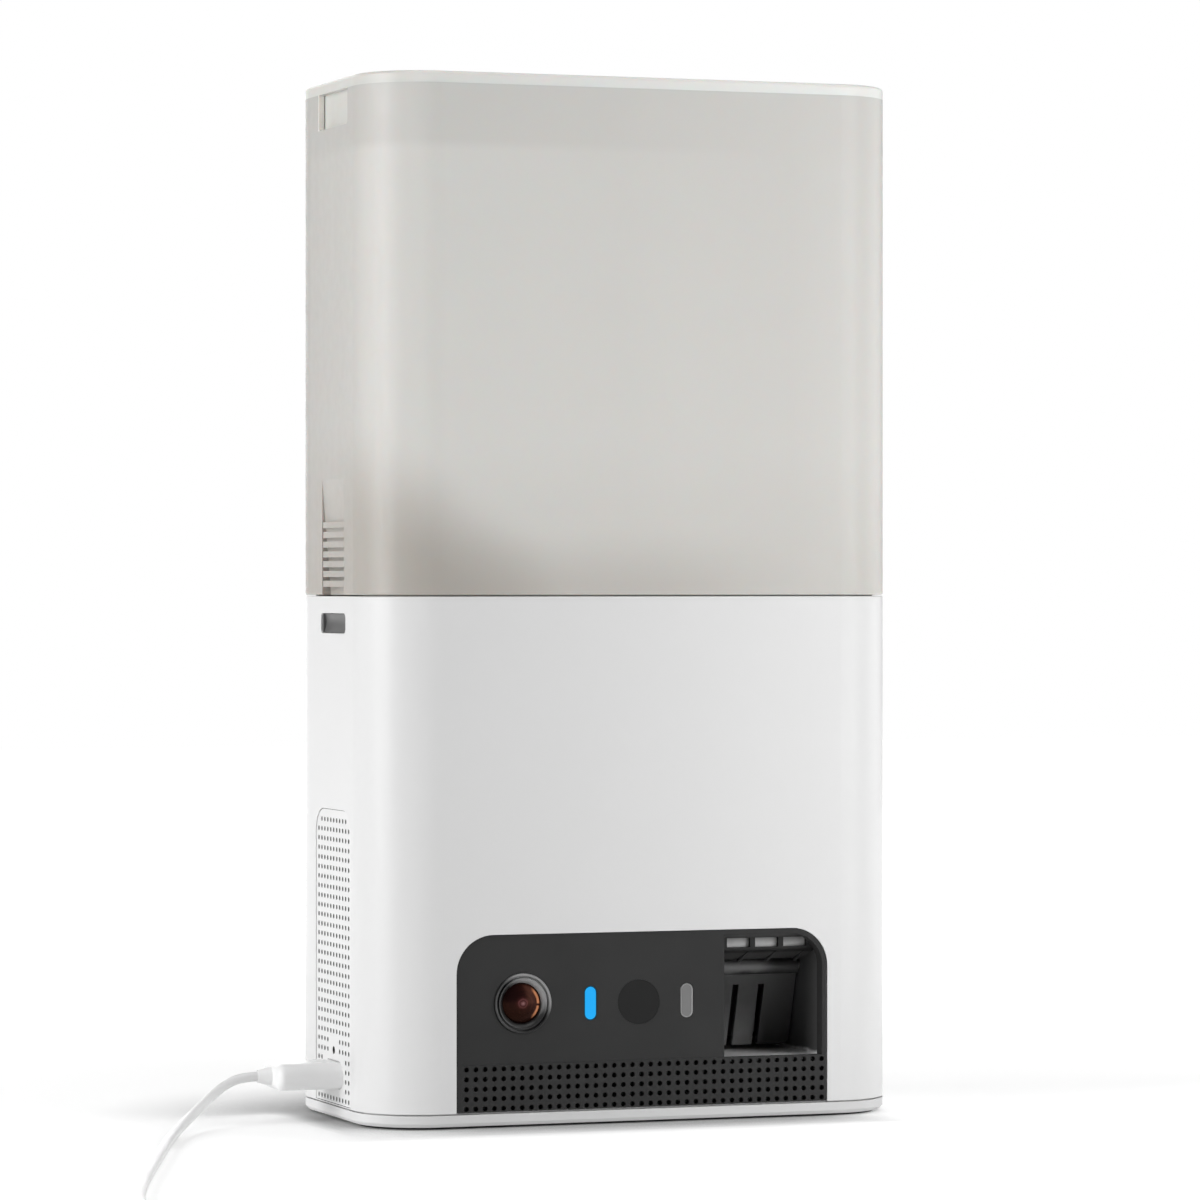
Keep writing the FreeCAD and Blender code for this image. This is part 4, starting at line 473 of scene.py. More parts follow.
def lid_skirt_shade_and_notch_highlight(look, x, y, z, wall):
    """Painted shade of the lid's skirt on the rim, except at the side of its notch, which takes a painted
    highlight.
    """
    skirt = look.mix(look.span(x, SKIRT_X), SKIRT_FLANK, SKIRT_FRONT)
    wall = look.mix(look.span(z, *SKIRT_BY_Z), wall, skirt)
    beside = look.maths("ABSOLUTE", look.maths("SUBTRACT", y, JAMB_Y))
    jamb = look.chain(
        "MULTIPLY",
        look.span(beside, JAMB_HALF, FALL),
        look.span(z, JAMB_Z),
        look.span(x, JAMB_X, FALL),
    )
    return look.mix(jamb, wall, JAMB_PAINTED_HIGHLIGHT)


def frosted():
    """Frosted wall, with painted shade and highlight by place, painted shade of the hopper's slopes and
    the lid's skirt behind it, and a painted highlight at the lid's notch.
    """
    look = Surface("frosted")
    x, y, z = (look.axis(name) for name in "XYZ")
    wall = wall_painted_shade_and_highlight(look, x, y)
    wall = hopper_painted_shade(look, x, y, z, wall)
    look.colour(lid_skirt_shade_and_notch_highlight(look, x, y, z, wall))
    look.gloss(0.36, 0.46, 300.0, 3.0)
    look.grain(3200.0, 0.25, 0.01)
    look.set(Subsurface_Weight=0.15, Subsurface_Scale=4.0 * MM)
    return look.material


# Painted shade on the lid's left flank, fading out between these places
LID_FLANK_X = (-72.0 * MM, -56.0 * MM)
LID_FLANK_SHADE = srgb(208, 207, 202)


def lid_plastic():
    """Pale milky lid, with painted shade on its left flank."""
    look = Surface("lid_plastic")
    face = look.drift(srgb(233, 232, 228), srgb(237, 236, 233), 9.0)
    look.colour(look.mix(look.span(look.axis("X"), LID_FLANK_X), LID_FLANK_SHADE, face))
    look.gloss(0.34, 0.44, 300.0, 3.0)
    look.grain(3000.0, 0.25, 0.01)
    look.set(Subsurface_Weight=0.2, Subsurface_Scale=3.0 * MM)
    return look.material


# ---- Base and mouth ----------------------------------------------------------------------
# Painted light on the base's left flank, fading out between these places
BASE_FLANK_X = (-72.8 * MM, -68.0 * MM)
# Painted light on the chamber's floor, fading out between these heights
FLOOR_LIGHT_Z = (16.3 * MM, 17.3 * MM)
# Level of the flap's painted light and shade by Z in mm
FLAP_LIGHT_LEVELS = [
    (17.5, 126), (20.0, 120), (22.5, 104), (25.6, 84), (28.8, 60), (33.0, 42), (36.2, 42),
    (37.4, 96), (41.0, 96),
]
# Painted shadow over the flap's right part, fading in between these places
FLAP_SHADOW_X = (37.2 * MM, 43.0 * MM)
STRIP_Z = (44.4 * MM, 47.0 * MM)
POSTS_FOOT_Z = (42.4 * MM, 43.0 * MM)
POSTS_TOP_Z = (46.8 * MM, 47.3 * MM)


def base_plastic():
    """Pale grey base, with painted light on its left flank."""
    look = Surface("base_grey_plate")
    face = look.drift(grey(211), grey(217))
    look.colour(look.mix(look.span(look.axis("X"), BASE_FLANK_X), grey(226), face))
    look.moulded_finish(0.34, 0.42)
    return look.material


def chamber_plastic():
    """Black launch chamber, with painted light along the floor that the treats slide over."""
    look = Surface("chamber_black")
    height = look.maths("ADD", look.axis("Z"), look.wander(-0.3 * MM, 0.3 * MM, 160.0, 3.0))
    floor_painted_light = look.drift(grey(206), grey(226), 120.0, 3.0)
    look.colour(look.mix(look.span(height, FLOOR_LIGHT_Z, FALL), look.drift(grey(70), grey(78)), floor_painted_light))
    look.moulded_finish(0.46, 0.56)
    return look.material


def flap_plastic():
    """Black exit flap, with painted light towards its foot and along its hinge barrel, on the left, and a
    painted shadow on its right.
    """
    look = Surface("flap_black")
    height = look.maths("ADD", look.in_mm(look.axis("Z")), look.wander(-0.5, 0.5, 220.0, 3.0))
    flap_painted_light = look.ramp(height, [(at, grey(level)) for at, level in FLAP_LIGHT_LEVELS])
    dark = look.drift(grey(50), grey(56))
    look.colour(look.mix(look.span(look.axis("X"), FLAP_SHADOW_X), flap_painted_light, dark))
    look.moulded_finish(0.42, 0.50)
    return look.material


def strip_plastic():
    """Grey strip behind the comb, paler towards its foot where the light reaches it."""
    look = Surface("strip_grey")
    height = look.maths("ADD", look.axis("Z"), look.wander(-0.2 * MM, 0.2 * MM, 200.0, 2.0))
    look.colour(look.mix(look.span(height, STRIP_Z), grey(214), grey(118)))
    look.gloss(0.4, 0.5)
    return look.material


def hood_plastic():
    """Black comb, its posts between the windows deeper than its top band."""
    look = Surface("hood_black")
    z = look.axis("Z")
    posts = look.maths("MULTIPLY", look.span(z, POSTS_TOP_Z, FALL), look.span(z, POSTS_FOOT_Z))
    deep = look.drift(grey(26), grey(34), 90.0)
    look.colour(look.mix(posts, look.drift(grey(60), grey(66)), deep))
    look.moulded_finish(0.56, 0.66)
    look.set(Specular_IOR_Level=0.3)
    return look.material


# ---- Lens -----------------------------------------------------------------------------------
# Bands of the dome by radius in mm: the coating's deep red-brown, with painted reflections in its paler
# bands
DOME_BANDS = [
    (0.00, srgb(150, 112, 112)), (0.35, srgb(118, 80, 82)), (0.75, srgb(60, 30, 32)),
    (1.10, srgb(96, 58, 58)), (1.45, srgb(48, 22, 22)), (2.20, srgb(30, 13, 13)),
    (2.60, srgb(50, 22, 20)), (3.10, srgb(28, 12, 12)), (3.70, srgb(54, 22, 18)),
    (4.20, srgb(44, 18, 15)), (4.75, srgb(60, 27, 18)), (5.15, srgb(20, 9, 8)),
]
# The dome is shaded outside its core, less so towards its right, and darkest at its foot
DOME_CORE_R = (1.5, 2.6)
DOME_SIDE_X = (-3.0 * MM, 4.2 * MM)
DOME_SHADE = srgb(24, 11, 12)
DOME_FOOT_BY_Z = (-3.0 * MM, 0.6 * MM), (0.75, 0.0)
DOME_FOOT_SHADE = srgb(8, 3, 3)

# Painted reflection: a warm crescent near the dome's right edge, cut in two by a thin gap. Radii in mm
CRESCENT_INNER_R = (3.75, 4.25)
CRESCENT_OUTER_R = (4.55, 4.85)
CRESCENT_X = (2.2 * MM, 3.6 * MM)
CRESCENT_GAP_Z = -0.4 * MM
CRESCENT_GAP_HALF = (0.1 * MM, 0.5 * MM)
CRESCENT_REFLECTION = srgb(206, 138, 98)

# The ring takes painted light towards its upper right: weights of X and Z for each mm, and their range
BEZEL_LIGHT_ACROSS = 0.7
BEZEL_LIGHT_UP = 0.9
BEZEL_LIGHT_RANGE = (0.6, 6.4)


def lens_centre():
    """Middle of the lens ring's front edge."""
    low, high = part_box("lens_ring")
    return Vector(((low.x + high.x) / 2, low.y, (low.z + high.z) / 2))


def from_lens(look):
    """Places across and up, measured from the lens's centre."""
    centre = lens_centre()
    across = look.maths("SUBTRACT", look.axis("X"), centre.x)
    up = look.maths("SUBTRACT", look.axis("Z"), centre.z)
    return across, up


def lens_coating_and_reflections():
    """Deep red-brown coated dome: bands of colour round the lens's axis with painted reflections, painted
    shade, and a warm painted reflection to the upper right.
    """
    look = Surface("lens_coating_and_reflections")
    x, z = from_lens(look)
    square = look.maths("ADD", look.maths("MULTIPLY", x, x), look.maths("MULTIPLY", z, z))
    radius = look.in_mm(look.maths("SQRT", square))
    bands = look.ramp(look.maths("ADD", radius, look.wander(-0.12, 0.12, 700.0, 2.0)), DOME_BANDS)
    shaded = look.mix(look.span(radius, DOME_CORE_R), bands, DOME_SHADE)
    shown = look.mix(look.span(x, DOME_SIDE_X), shaded, bands)
    shown = look.mix(look.span(z, *DOME_FOOT_BY_Z), shown, DOME_FOOT_SHADE)
    from_gap = look.maths("ABSOLUTE", look.maths("SUBTRACT", z, CRESCENT_GAP_Z))
    crescent = look.chain(
        "MULTIPLY",
        look.span(radius, CRESCENT_INNER_R),
        look.span(radius, CRESCENT_OUTER_R, FALL),
        look.span(x, CRESCENT_X),
        look.span(from_gap, CRESCENT_GAP_HALF),
    )
    look.colour(look.mix(crescent, shown, CRESCENT_REFLECTION))
    look.set(Roughness=0.24, Specular_IOR_Level=0.17, Specular_Tint=srgb(255, 170, 136))
    return look.material


def bezel_plastic():
    """Satin ring round the lens, with painted light towards its upper right."""
    look = Surface("bezel_black")
    x, z = from_lens(look)
    across = look.maths("MULTIPLY", x, BEZEL_LIGHT_ACROSS / MM)
    up = look.maths("MULTIPLY", z, BEZEL_LIGHT_UP / MM)
    bezel_painted_light = look.span(look.maths("ADD", across, up), BEZEL_LIGHT_RANGE)
    look.colour(look.mix(bezel_painted_light, look.drift(grey(26), grey(32), 300.0), grey(142)))
    look.gloss(0.30, 0.38, 200.0, 3.0)
    look.grain(2000.0, 0.3, 0.01)
    return look.material


# ---- Materials on the CAD nodes ------------------------------------------------------------
# Nodes that don't take their slot's material
OWN_LOOK = {
    "launch_chamber": "chamber_black",
    "mouth_hood": "hood_black",
    "exit_flap": "flap_black",
    "reset_button": "reset_black",
    "reset_switch": "reset_black",
    "release_button_left": "button_grey",
    "release_button_right": "button_grey",
    "usb_plug": "plug_white_painted_light",
}


def make_materials():
    """One material for each slot, and those of single nodes or of one part of a piece."""
    return {
        "white_shell": gloss_white(),
        "white_grille": moulded("grille_white", grey(228), grey(231), 0.4),
        "grey_base": base_plastic(),
        "rubber_foot": rubber(),
        "charcoal_panel": moulded("charcoal", grey(40), grey(44), 0.66, 3000.0, 0.03, 0.3),
        "lens_black": bezel_plastic(),
        "lens_glass": lens_coating_and_reflections(),
        "blue_light": status_light(),
        "status_rim": status_rim(),
        "grey_window": moulded("window_grey", grey(114), grey(120), 0.45),
        "sensor_rim": moulded("window_rim", grey(150), grey(158), 0.4),
        "pale_strip": strip_plastic(),
        "dark_window": moulded("window_dark", grey(20), grey(24), 0.5, 1500.0, 0.005, 0.2),
        "circuit_board": board(),
        "black_plastic": moulded("inner_black", grey(72), grey(78), 0.5),
        "chamber_black": chamber_plastic(),
        "hood_black": hood_plastic(),
        "flap_black": flap_plastic(),
        "reset_black": moulded("reset_black", grey(24), grey(30), 0.6),
        "dust_cloth": moulded("dust_cloth", grey(70), grey(92), 0.9, 4200.0, 0.08, 0.1),
        "steel": steel(),
        "grey_plastic": moulded("inner_grey", grey(104), grey(110), 0.46),
        "button_grey": moulded("button_grey", grey(88), grey(94), 0.46),
        "white_gear": moulded("gear_white", grey(222), grey(230), 0.4),
        "rotor_brown": moulded("feeder_warm", srgb(172, 166, 156), srgb(180, 174, 165), 0.5),
        "frosted_plastic": frosted(),
        "lid_plastic": lid_plastic(),
        "seal_silicone": moulded("seal_white", grey(212), grey(222), 0.6),
        "white_cord": moulded("cord_white", grey(236), grey(240), 0.35, 1500.0, 0.01),
        # The plug is a paler copy of the cord's white: painted light on the plug
        "plug_white_painted_light": moulded("plug_white_painted_light", grey(246), grey(250), 0.3, 1500.0, 0.01),
    }


def dress_nodes(materials):
    """Each CAD node takes its own slot's material, or the one that OWN_LOOK names."""
    for part in frame["record"]["subparts"]:
        data = NODES[part["node"]].data
        data.materials.clear()
        data.materials.append(materials[OWN_LOOK.get(part["node"], part["material_slot"])])


# ---- Piece helpers --------------------------------------------------------------------------
SHARP_ANGLE = math.radians(32)


def piece(name, points, parts, replaced, smooth=True):
    """A mesh that rides the base and replaces CAD nodes; parts are (material, faces) pairs."""
    data = bpy.data.meshes.new(name)
    data.from_pydata(points, [], [face for _, faces in parts for face in faces])
    for material, _ in parts:
        data.materials.append(material)
    data.polygons.foreach_set("material_index", [i for i, (_, faces) in enumerate(parts) for _ in faces])
    if smooth:
        data.shade_smooth()
        data.set_sharp_from_angle(angle=SHARP_ANGLE)
    made = add_object(name, data)
    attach(made, "base")
    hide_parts(*replaced)
    return made


def joined_rings(rings, steps, closed=False):
    """Quads between neighbouring rings of points, and from the last to the first if closed."""
    faces = []
    for ring in range(rings if closed else rings - 1):
        here = ring * steps
        after = (ring + 1) % rings * steps
        for i in range(steps):
            j = (i + 1) % steps
            faces.append((here + i, here + j, after + j, after + i))
    return faces


def arc(across, up, radius, start, end, steps):
    """Flat points along an arc, both ends included."""
    turns = [start + (end - start) * i / steps for i in range(steps + 1)]
    return [(across + radius * math.cos(turn), up + radius * math.sin(turn)) for turn in turns]


def upright_slot(x, z, half_w, half_h, steps=14):
    """Outline of an upright slot with round ends, from its right side."""
    lift = half_h - half_w
    top = arc(x, z + lift, half_w, 0, math.pi, steps)
    return top + arc(x, z - lift, half_w, math.pi, 2 * math.pi, steps)


def lying_slot(y, z, half_w, half_h, steps=10):
    """Outline of a lying slot with round ends, from its foot."""
    reach = half_w - half_h
    quarter = math.pi / 2
    far = arc(y + reach, z, half_h, -quarter, quarter, steps)
    return far + arc(y - reach, z, half_h, quarter, 3 * quarter, steps)


def disc(x, y, radius, steps=12):
    """Outline of a round hole, with a flat side at its right."""
    turns = [2 * math.pi * (i + 0.5) / steps for i in range(steps)]
    return [(x + radius * math.cos(turn), y + radius * math.sin(turn)) for turn in turns]


CDT_INSIDE = 1  # triangles inside the outline only
CDT_TOUCH = 1e-7  # flat points nearer than this are one


def plate_with_holes(outline, holes, place, near, far):
    """Flat plate from depth near to far: outline and holes are rows of flat points, and
    place(point, depth) puts one in space."""
    flat = []
    edges = []
    owner = []
    for number, loop in enumerate([outline] + holes):
        first = len(flat)
        for i, point in enumerate(loop):
            flat.append(Vector(point))
            owner.append(number)
            edges.append((first + i, first + (i + 1) % len(loop)))
    spots, _, triangles, origin, _, _ = delaunay_2d_cdt(flat, edges, [], CDT_INSIDE, CDT_TOUCH)
    belongs = [{owner[corner] for corner in source} for source in origin]
    # A triangle whose corners all lie on one hole fills it. The outline is number 0.
    kept = [(a, b, c) for a, b, c in triangles if not any(belongs[a] & belongs[b] & belongs[c])]
    sides = [side for a, b, c in kept for side in ((a, b), (b, c), (c, a))]
    known = set(sides)
    count = len(spots)
    points = [place(spot, near) for spot in spots] + [place(spot, far) for spot in spots]
    faces = [(a, c, b) for a, b, c in kept]
    faces += [(a + count, b + count, c + count) for a, b, c in kept]
    faces += [(a, b, b + count, a + count) for a, b in sides if (b, a) not in known]
    return points, faces


# ---- Lens pieces --------------------------------------------------------------------------
LENS_STEPS = 96
# Section of the ring and the cone behind it: radius and depth behind the front edge, in mm
BEZEL = [
    (7.70, 2.60), (7.70, 0.22), (7.66, 0.08), (7.56, 0.0), (7.24, 0.0), (7.12, 0.06), (7.06, 0.18),
    (7.06, 1.00), (6.58, 1.00), (6.56, 0.46), (6.50, 0.34), (6.38, 0.30), (6.22, 0.34),
    (5.36, 1.18), (5.24, 1.40), (5.22, 5.20), (2.50, 5.20), (2.50, 8.30), (6.10, 8.30), (6.10, 2.60),
]
# The dome, in mm: a cap of a sphere on a short drum
DOME_R = 5.16
DOME_SPHERE_R = 9.6
DOME_FRONT = 0.05
DOME_BACK = 5.0
DOME_BACK_RING_R = 0.6
DOME_RINGS = 14


def turned(profile, centre):
    """Rings of points about the lens's own axis, one for each (radius, depth) in mm."""
    turns = [2 * math.pi * i / LENS_STEPS for i in range(LENS_STEPS)]
    return [
        (
            centre.x + radius * math.cos(turn) * MM,
            centre.y + depth * MM,
            centre.z + radius * math.sin(turn) * MM,
        )
        for radius, depth in profile
        for turn in turns
    ]


def add_bezel(materials):
    points = turned(BEZEL, lens_centre())
    faces = joined_rings(len(BEZEL), LENS_STEPS, closed=True)
    piece("lens_bezel", points, [(materials["lens_black"], faces)], ["lens_ring", "lens_tube"])


def add_dome(materials):
    """Domed glass, from the middle of its flat back out over the edge to its front."""
    centre = lens_centre()
    profile = [(DOME_BACK_RING_R, DOME_BACK), (DOME_R, DOME_BACK)]
    for ring in range(DOME_RINGS, 0, -1):
        radius = DOME_R * ring / DOME_RINGS
        depth = DOME_FRONT + DOME_SPHERE_R - math.sqrt(DOME_SPHERE_R ** 2 - radius ** 2)
        profile.append((radius, depth))
    points = turned(profile, centre)
    faces = joined_rings(len(profile), LENS_STEPS)
    last = len(points) - LENS_STEPS
    back = len(points)
    front = back + 1
    points.append((centre.x, centre.y + DOME_BACK * MM, centre.z))
    points.append((centre.x, centre.y + DOME_FRONT * MM, centre.z))
    for i in range(LENS_STEPS):
        j = (i + 1) % LENS_STEPS
        faces.append((back, j, i))
        faces.append((front, last + i, last + j))
    piece("lens_dome", points, [(materials["lens_glass"], faces)], ["lens_glass"])


# ---- Indicator windows ----------------------------------------------------------------------
EDGE_SOFT = 0.12 * MM
# Node, piece, slot, the rim's material, then the rim's width and how deep the core is sunk
INDICATORS = [
    ("status_light", "status_cap", "blue_light", "status_rim", 0.24 * MM, 0.10 * MM),
    ("sensor_window", "sensor_cap", "grey_window", "sensor_rim", 0.34 * MM, 0.14 * MM),
]


def add_indicator(materials, node, name, slot, rim, rim_width, sunk):
    """Slot window with a rounded rim about a core that sits a little lower."""
    low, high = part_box(node)
    x = (low.x + high.x) / 2
    z = (low.z + high.z) / 2
    half_w = (high.x - low.x) / 2
    half_h = (high.z - low.z) / 2
    # Inset and depth of each ring, from the back over the rim to the core
    rows = [
        (0.0, high.y - low.y),
        (0.0, EDGE_SOFT),
        (EDGE_SOFT * 0.4, EDGE_SOFT * 0.3),
        (EDGE_SOFT, 0.0),
        (rim_width - EDGE_SOFT * 0.5, 0.0),
        (rim_width, sunk * 0.5),
        (rim_width + EDGE_SOFT * 0.3, sunk),
    ]
    points = []
    for inset, depth in rows:
        outline = upright_slot(x, z, half_w - inset, half_h - inset)
        points += [(across, low.y + depth, up) for across, up in outline]
    steps = len(outline)
    back = tuple(reversed(range(steps)))
    core = tuple(range(len(points) - steps, len(points)))
    parts = [(materials[rim], joined_rings(len(rows), steps) + [back]), (materials[slot], [core])]
    piece(name, points, parts, [node])


# ---- Side grille, in mm ---------------------------------------------------------------------
SKIN_T = 0.08
SKIN_GAP = 0.02
SIDE_MID = -2.4
SHOULDER_R = 6.5
VENT_PITCH = (2.6, 2.49)
VENT_COLUMNS = 11
VENT_ROWS = 30
VENT_FIRST_ROW = 5.6
VENT_HOLE_R = 0.66
PLUG_Z = 11.9
PLUG_HALF = (8.25, 3.6)
PLUG_CLEAR = (1.05, 1.15)
PINHOLE_Z = 18.1
PINHOLE_R = 1.05
PINHOLE_CLEAR = 1.2  # pitches


def vent_edge(low_y, high_y, low_z, high_z, steps=10):
    """Grille outline: square feet, round shoulders."""
    quarter = math.pi / 2
    centre_z = high_z - SHOULDER_R
    feet = [(low_y, low_z), (high_y, low_z)]
    far = arc(high_y - SHOULDER_R, centre_z, SHOULDER_R, 0, quarter, steps)
    return feet + far + arc(low_y + SHOULDER_R, centre_z, SHOULDER_R, quarter, 2 * quarter, steps)


def vent_spots():
    """Middles of the holes, which keep clear of the plug, the pinhole and the round shoulders."""
    spots = []
    half = (VENT_COLUMNS - 1) / 2
    for row in range(VENT_ROWS):
        z = VENT_FIRST_ROW + row * VENT_PITCH[1]
        from_plug = abs(z - PLUG_Z)
        from_pin = abs(z - PINHOLE_Z)
        for column in range(VENT_COLUMNS):
            off = abs(column - half) * VENT_PITCH[0]
            at_plug = off < PLUG_HALF[0] + PLUG_CLEAR[0] and from_plug < PLUG_HALF[1] + PLUG_CLEAR[1]
            at_pin = off < VENT_PITCH[0] * PINHOLE_CLEAR and from_pin < VENT_PITCH[1] * PINHOLE_CLEAR
            at_shoulder = row == VENT_ROWS - 1 and column in (0, VENT_COLUMNS - 1)
            if not (at_plug or at_pin or at_shoulder):
                spots.append((SIDE_MID + (column - half) * VENT_PITCH[0], z))
    return spots


def add_side_grille(materials):
    """Thin white skin with round holes, bonded to a dark cloth."""
    low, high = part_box("side_grille")
    edge = vent_edge(low.y / MM, high.y / MM, low.z / MM, high.z / MM)
    openings = [lying_slot(SIDE_MID, PLUG_Z, *PLUG_HALF), disc(SIDE_MID, PINHOLE_Z, PINHOLE_R, 16)]
    holes = openings + [disc(y, z, VENT_HOLE_R) for y, z in vent_spots()]

    def place(spot, depth):
        return (low.x + depth * MM, spot[0] * MM, spot[1] * MM)

    points, skin = plate_with_holes(edge, holes, place, 0.0, SKIN_T)
    first = len(points)
    behind, cloth = plate_with_holes(edge, openings, place, SKIN_T + SKIN_GAP, (high.x - low.x) / MM)
    cloth = [tuple(first + corner for corner in face) for face in cloth]
    parts = [(materials["white_grille"], skin), (materials["dust_cloth"], cloth)]
    piece("side_screen", points + behind, parts, ["side_grille"], smooth=False)


# ---- Speaker grille, in mm ---------------------------------------------------------------------
HOLE_R = 0.68
HOLE_PITCH = (2.51, 2.52)
HOLE_ROWS = 5
HOLE_COLUMNS = 40
HOLES_SHIFT = 0.6
TOP_ROW_DROP = 1.1


def add_speaker_grille(materials):
    """Dark strip under the panel with round holes right through it."""
    low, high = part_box("speaker_grille")
    left, right, foot, top = (side / MM for side in (low.x, high.x, low.z, high.z))
    edge = [(left, foot), (right, foot), (right, top), (left, top)]
    first = (left + right) / 2 + HOLES_SHIFT - HOLE_PITCH[0] * (HOLE_COLUMNS - 1) / 2
    holes = [
        disc(first + column * HOLE_PITCH[0], top - TOP_ROW_DROP - row * HOLE_PITCH[1], HOLE_R, 14)
        for row in range(HOLE_ROWS)
        for column in range(HOLE_COLUMNS)
    ]

    def place(spot, depth):
        return (spot[0] * MM, high.y - depth * MM, spot[1] * MM)

    points, faces = plate_with_holes(edge, holes, place, 0.0, (high.y - low.y) / MM)
    parts = [(materials["charcoal_panel"], faces)]
    piece("speaker_screen", points, parts, ["speaker_grille"], smooth=False)


# ---- Button springs -------------------------------------------------------------------------
SPRING_TURNS = 5
SPRING_STEPS = 28
SPRING_WIRE_R = 0.22 * MM
WIRE_SIDES = 10
CLOSED_TURNS = 0.75  # turns at each end that lie almost flat
CLOSED_RISE = 0.07  # share of the coil's length that they take


def add_button_spring(side, materials):
    """Round wire coil with closed ends."""
    node = "button_spring_" + side
    low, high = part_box(node)
    middle = (low + high) / 2
    radius = (high.y - low.y) / 2 - 2 * SPRING_WIRE_R
    run = high.x - low.x - 2 * SPRING_WIRE_R
    count = SPRING_TURNS * SPRING_STEPS
    closed = CLOSED_TURNS / SPRING_TURNS
    points = []
    for i in range(count + 1):
        along = i / count
        ends = clamp(along / closed) + clamp((along - 1 + closed) / closed)
        between = clamp((along - closed) / (1 - 2 * closed))
        reached = CLOSED_RISE * ends + (1 - 2 * CLOSED_RISE) * between
        lift = low.x + SPRING_WIRE_R + run * reached
        turn = 2 * math.pi * SPRING_TURNS * along
        for k in range(WIRE_SIDES):
            around = 2 * math.pi * k / WIRE_SIDES
            out = radius + SPRING_WIRE_R * math.cos(around)
            y = middle.y + out * math.cos(turn)
            z = middle.z + out * math.sin(turn)
            points.append((lift + SPRING_WIRE_R * math.sin(around), y, z))
    # These rings run the other way round, so each quad is turned over to face outwards.
    faces = [(a, d, c, b) for a, b, c, d in joined_rings(count + 1, WIRE_SIDES)]
    faces.append(tuple(range(WIRE_SIDES)))
    faces.append(tuple(reversed(range(count * WIRE_SIDES, len(points)))))
    coil = piece("coil_" + side, points, [(materials["steel"], faces)], [node])
    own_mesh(coil)


# ---- Floor ----------------------------------------------------------------------------------
FLOOR_HALF = 3.0
# Contact shadow: how far it reaches, how much deeper it is behind, and from which cover to which
# the glow falls away
CONTACT_REACH = 60.0 * MM
DEEPER_BY_Y = (0.0, 40.0 * MM), (1.0, 1.7)
COVER_RANGE = (0.03, 0.50)
# Where the floor stays bright beside the object: at its right, in front, and under the plug
BRIGHT_RIGHT_X = (45.0 * MM, 75.0 * MM)
BRIGHT_FRONT_Y = (-62.0 * MM, -42.0 * MM)
BRIGHT_PLUG_BY_X = (-86.0 * MM, -75.0 * MM), (0.85, 0.0)
BRIGHT_PLUG_Y = (10.0 * MM, 30.0 * MM)
GLOW_BY_DISTANCE = (0.14, 0.75), (0.31, 0.95)
SHADOW_LEVEL = 178


def open_floor(look):
    """Share of the floor's glow that the contact shadow leaves."""
    near = look.add("ShaderNodeAmbientOcclusion", samples=8)
    near.inputs["Distance"].default_value = CONTACT_REACH
    covered = look.maths("SUBTRACT", 1.0, near.outputs["AO"])
    covered = look.maths("MULTIPLY", covered, look.span(look.axis("Y"), *DEEPER_BY_Y))
    by_plug = look.maths(
        "MULTIPLY",
        look.span(look.axis("X"), *BRIGHT_PLUG_BY_X),
        look.span(look.axis("Y"), BRIGHT_PLUG_Y, FALL),
    )
    return look.chain(
        "MAXIMUM",
        look.span(covered, COVER_RANGE, FALL, smooth=False),
        look.span(look.axis("X"), BRIGHT_RIGHT_X),
        look.span(look.axis("Y"), BRIGHT_FRONT_Y, FALL),
        by_plug,
    )


def floor_material():
    """White by its own colour and a glow that only shows to the camera, in glass and in gloss; in the
    contact shadow the camera sees a painted grey and less glow.
    """
    look = Surface("floor_white")
    rays = look.add("ShaderNodeLightPath").outputs
    clear = open_floor(look)
    pale = look.drift(grey(244), grey(246), 6.0, 3.0)
    bare = look.maths("MAXIMUM", clear, look.maths("SUBTRACT", 1.0, rays["Is Camera Ray"]))
    look.colour(look.mix(bare, grey(SHADOW_LEVEL), pale))
    look.set(Roughness=0.9, Specular_IOR_Level=0.1)
    seen = look.chain("MAXIMUM", rays["Is Camera Ray"], rays["Is Glossy Ray"], rays["Is Transmission Ray"])
    away = look.add("ShaderNodeVectorMath", operation="LENGTH")
    look.link(look.place(), away.inputs[0])
    level = look.span(away.outputs["Value"], *GLOW_BY_DISTANCE)
    glow = look.add("ShaderNodeEmission")
    look.link(look.chain("MULTIPLY", level, clear, seen), glow.inputs["Strength"])
    both = look.add("ShaderNodeAddShader")
    look.link(look.shader.outputs["BSDF"], both.inputs[0])
    look.link(glow.outputs["Emission"], both.inputs[1])
    look.link(both.outputs["Shader"], look.tree.nodes["Material Output"].inputs["Surface"])
    return look.material


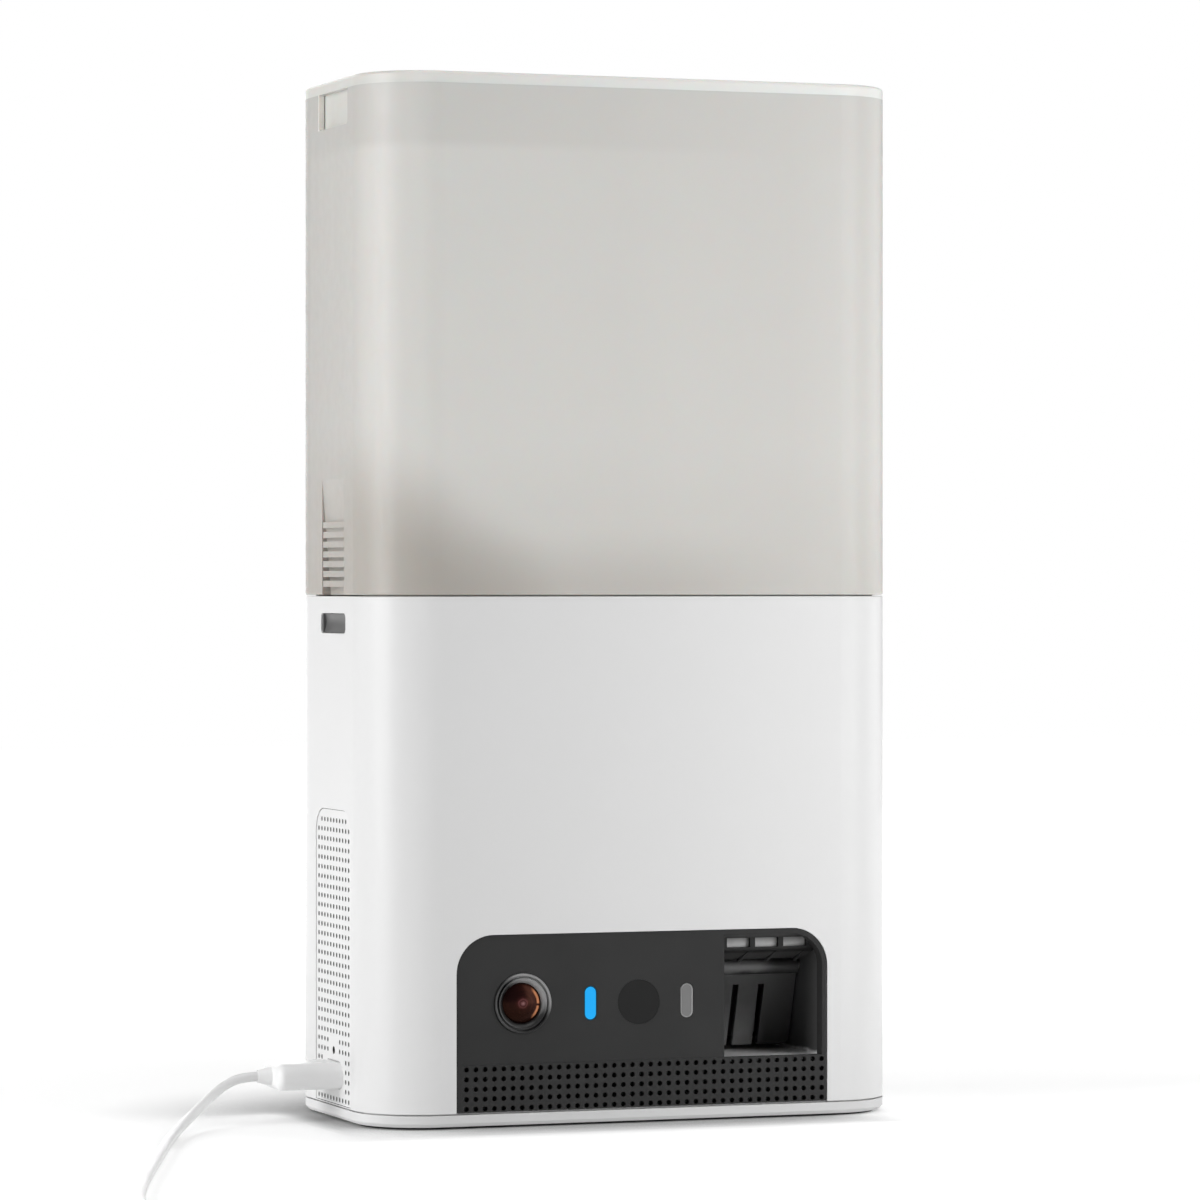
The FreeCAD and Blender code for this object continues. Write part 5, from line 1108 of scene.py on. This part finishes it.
def add_floor():
    """Pale floor that shows as white, and keeps the object's shadow."""
    data = bpy.data.meshes.new("floor")
    low, high = -FLOOR_HALF, FLOOR_HALF
    corners = [(low, low, 0), (high, low, 0), (high, high, 0), (low, high, 0)]
    data.from_pydata(corners, [], [(0, 1, 2, 3)])
    data.materials.append(floor_material())
    add_object("floor", data)


# ---- World and lamps ---------------------------------------------------------------------------
WORLD_LIGHT = 0.12
# Name, place, aim, width, height and watts
LAMPS = [
    ("left", (-1.5, -0.23, 0.45), (0, 0, 0.12), 0.9, 1.2, 20.0),
    ("right", (0.26, -0.30, 0.12), (0.05, 0, 0.10), 0.20, 0.6, 1.2),
    ("top", (0.1, -0.2, 1.6), (0, 0, 0.1), 1.6, 1.2, 9.0),
    ("back", (0.2, 1.7, 0.5), (0, 0, 0.12), 1.2, 1.2, 9.0),
    ("side", (1.2, 0.20, 0.35), (0, 0, 0.12), 0.8, 1.0, 2.5),
]


def set_world():
    """White world that lights the object less than it shows."""
    world = bpy.data.worlds.new("studio")
    bpy.context.scene.world = world
    world.use_nodes = True
    nodes = Nodes(world.node_tree)
    rays = nodes.add("ShaderNodeLightPath").outputs
    seen = nodes.maths("MAXIMUM", rays["Is Camera Ray"], rays["Is Transmission Ray"])
    back = world.node_tree.nodes["Background"]
    back.inputs["Color"].default_value = (1, 1, 1, 1)
    nodes.link(nodes.span(seen, RISE, (WORLD_LIGHT, 1.0), smooth=False), back.inputs["Strength"])


def add_lamp(name, at, aim, width, height, watts):
    data = bpy.data.lights.new(name, "AREA")
    data.shape = "RECTANGLE"
    data.size = width
    data.size_y = height
    data.energy = watts
    lamp = add_object(name, data)
    lamp.location = at
    direction = Vector(aim) - Vector(at)
    lamp.rotation_euler = direction.to_track_quat("-Z", "Y").to_euler()


# ---- Making -----------------------------------------------------------------------------------
add_camera()
materials = make_materials()
add_cord(materials["white_cord"])
dress_nodes(materials)
add_bezel(materials)
add_dome(materials)
for indicator in INDICATORS:
    add_indicator(materials, *indicator)
add_side_grille(materials)
for side in ("left", "right"):
    add_button_spring(side, materials)
add_speaker_grille(materials)
add_floor()
set_world()
for lamp in LAMPS:
    add_lamp(*lamp)

bpy.context.scene.view_settings.view_transform = "Standard"
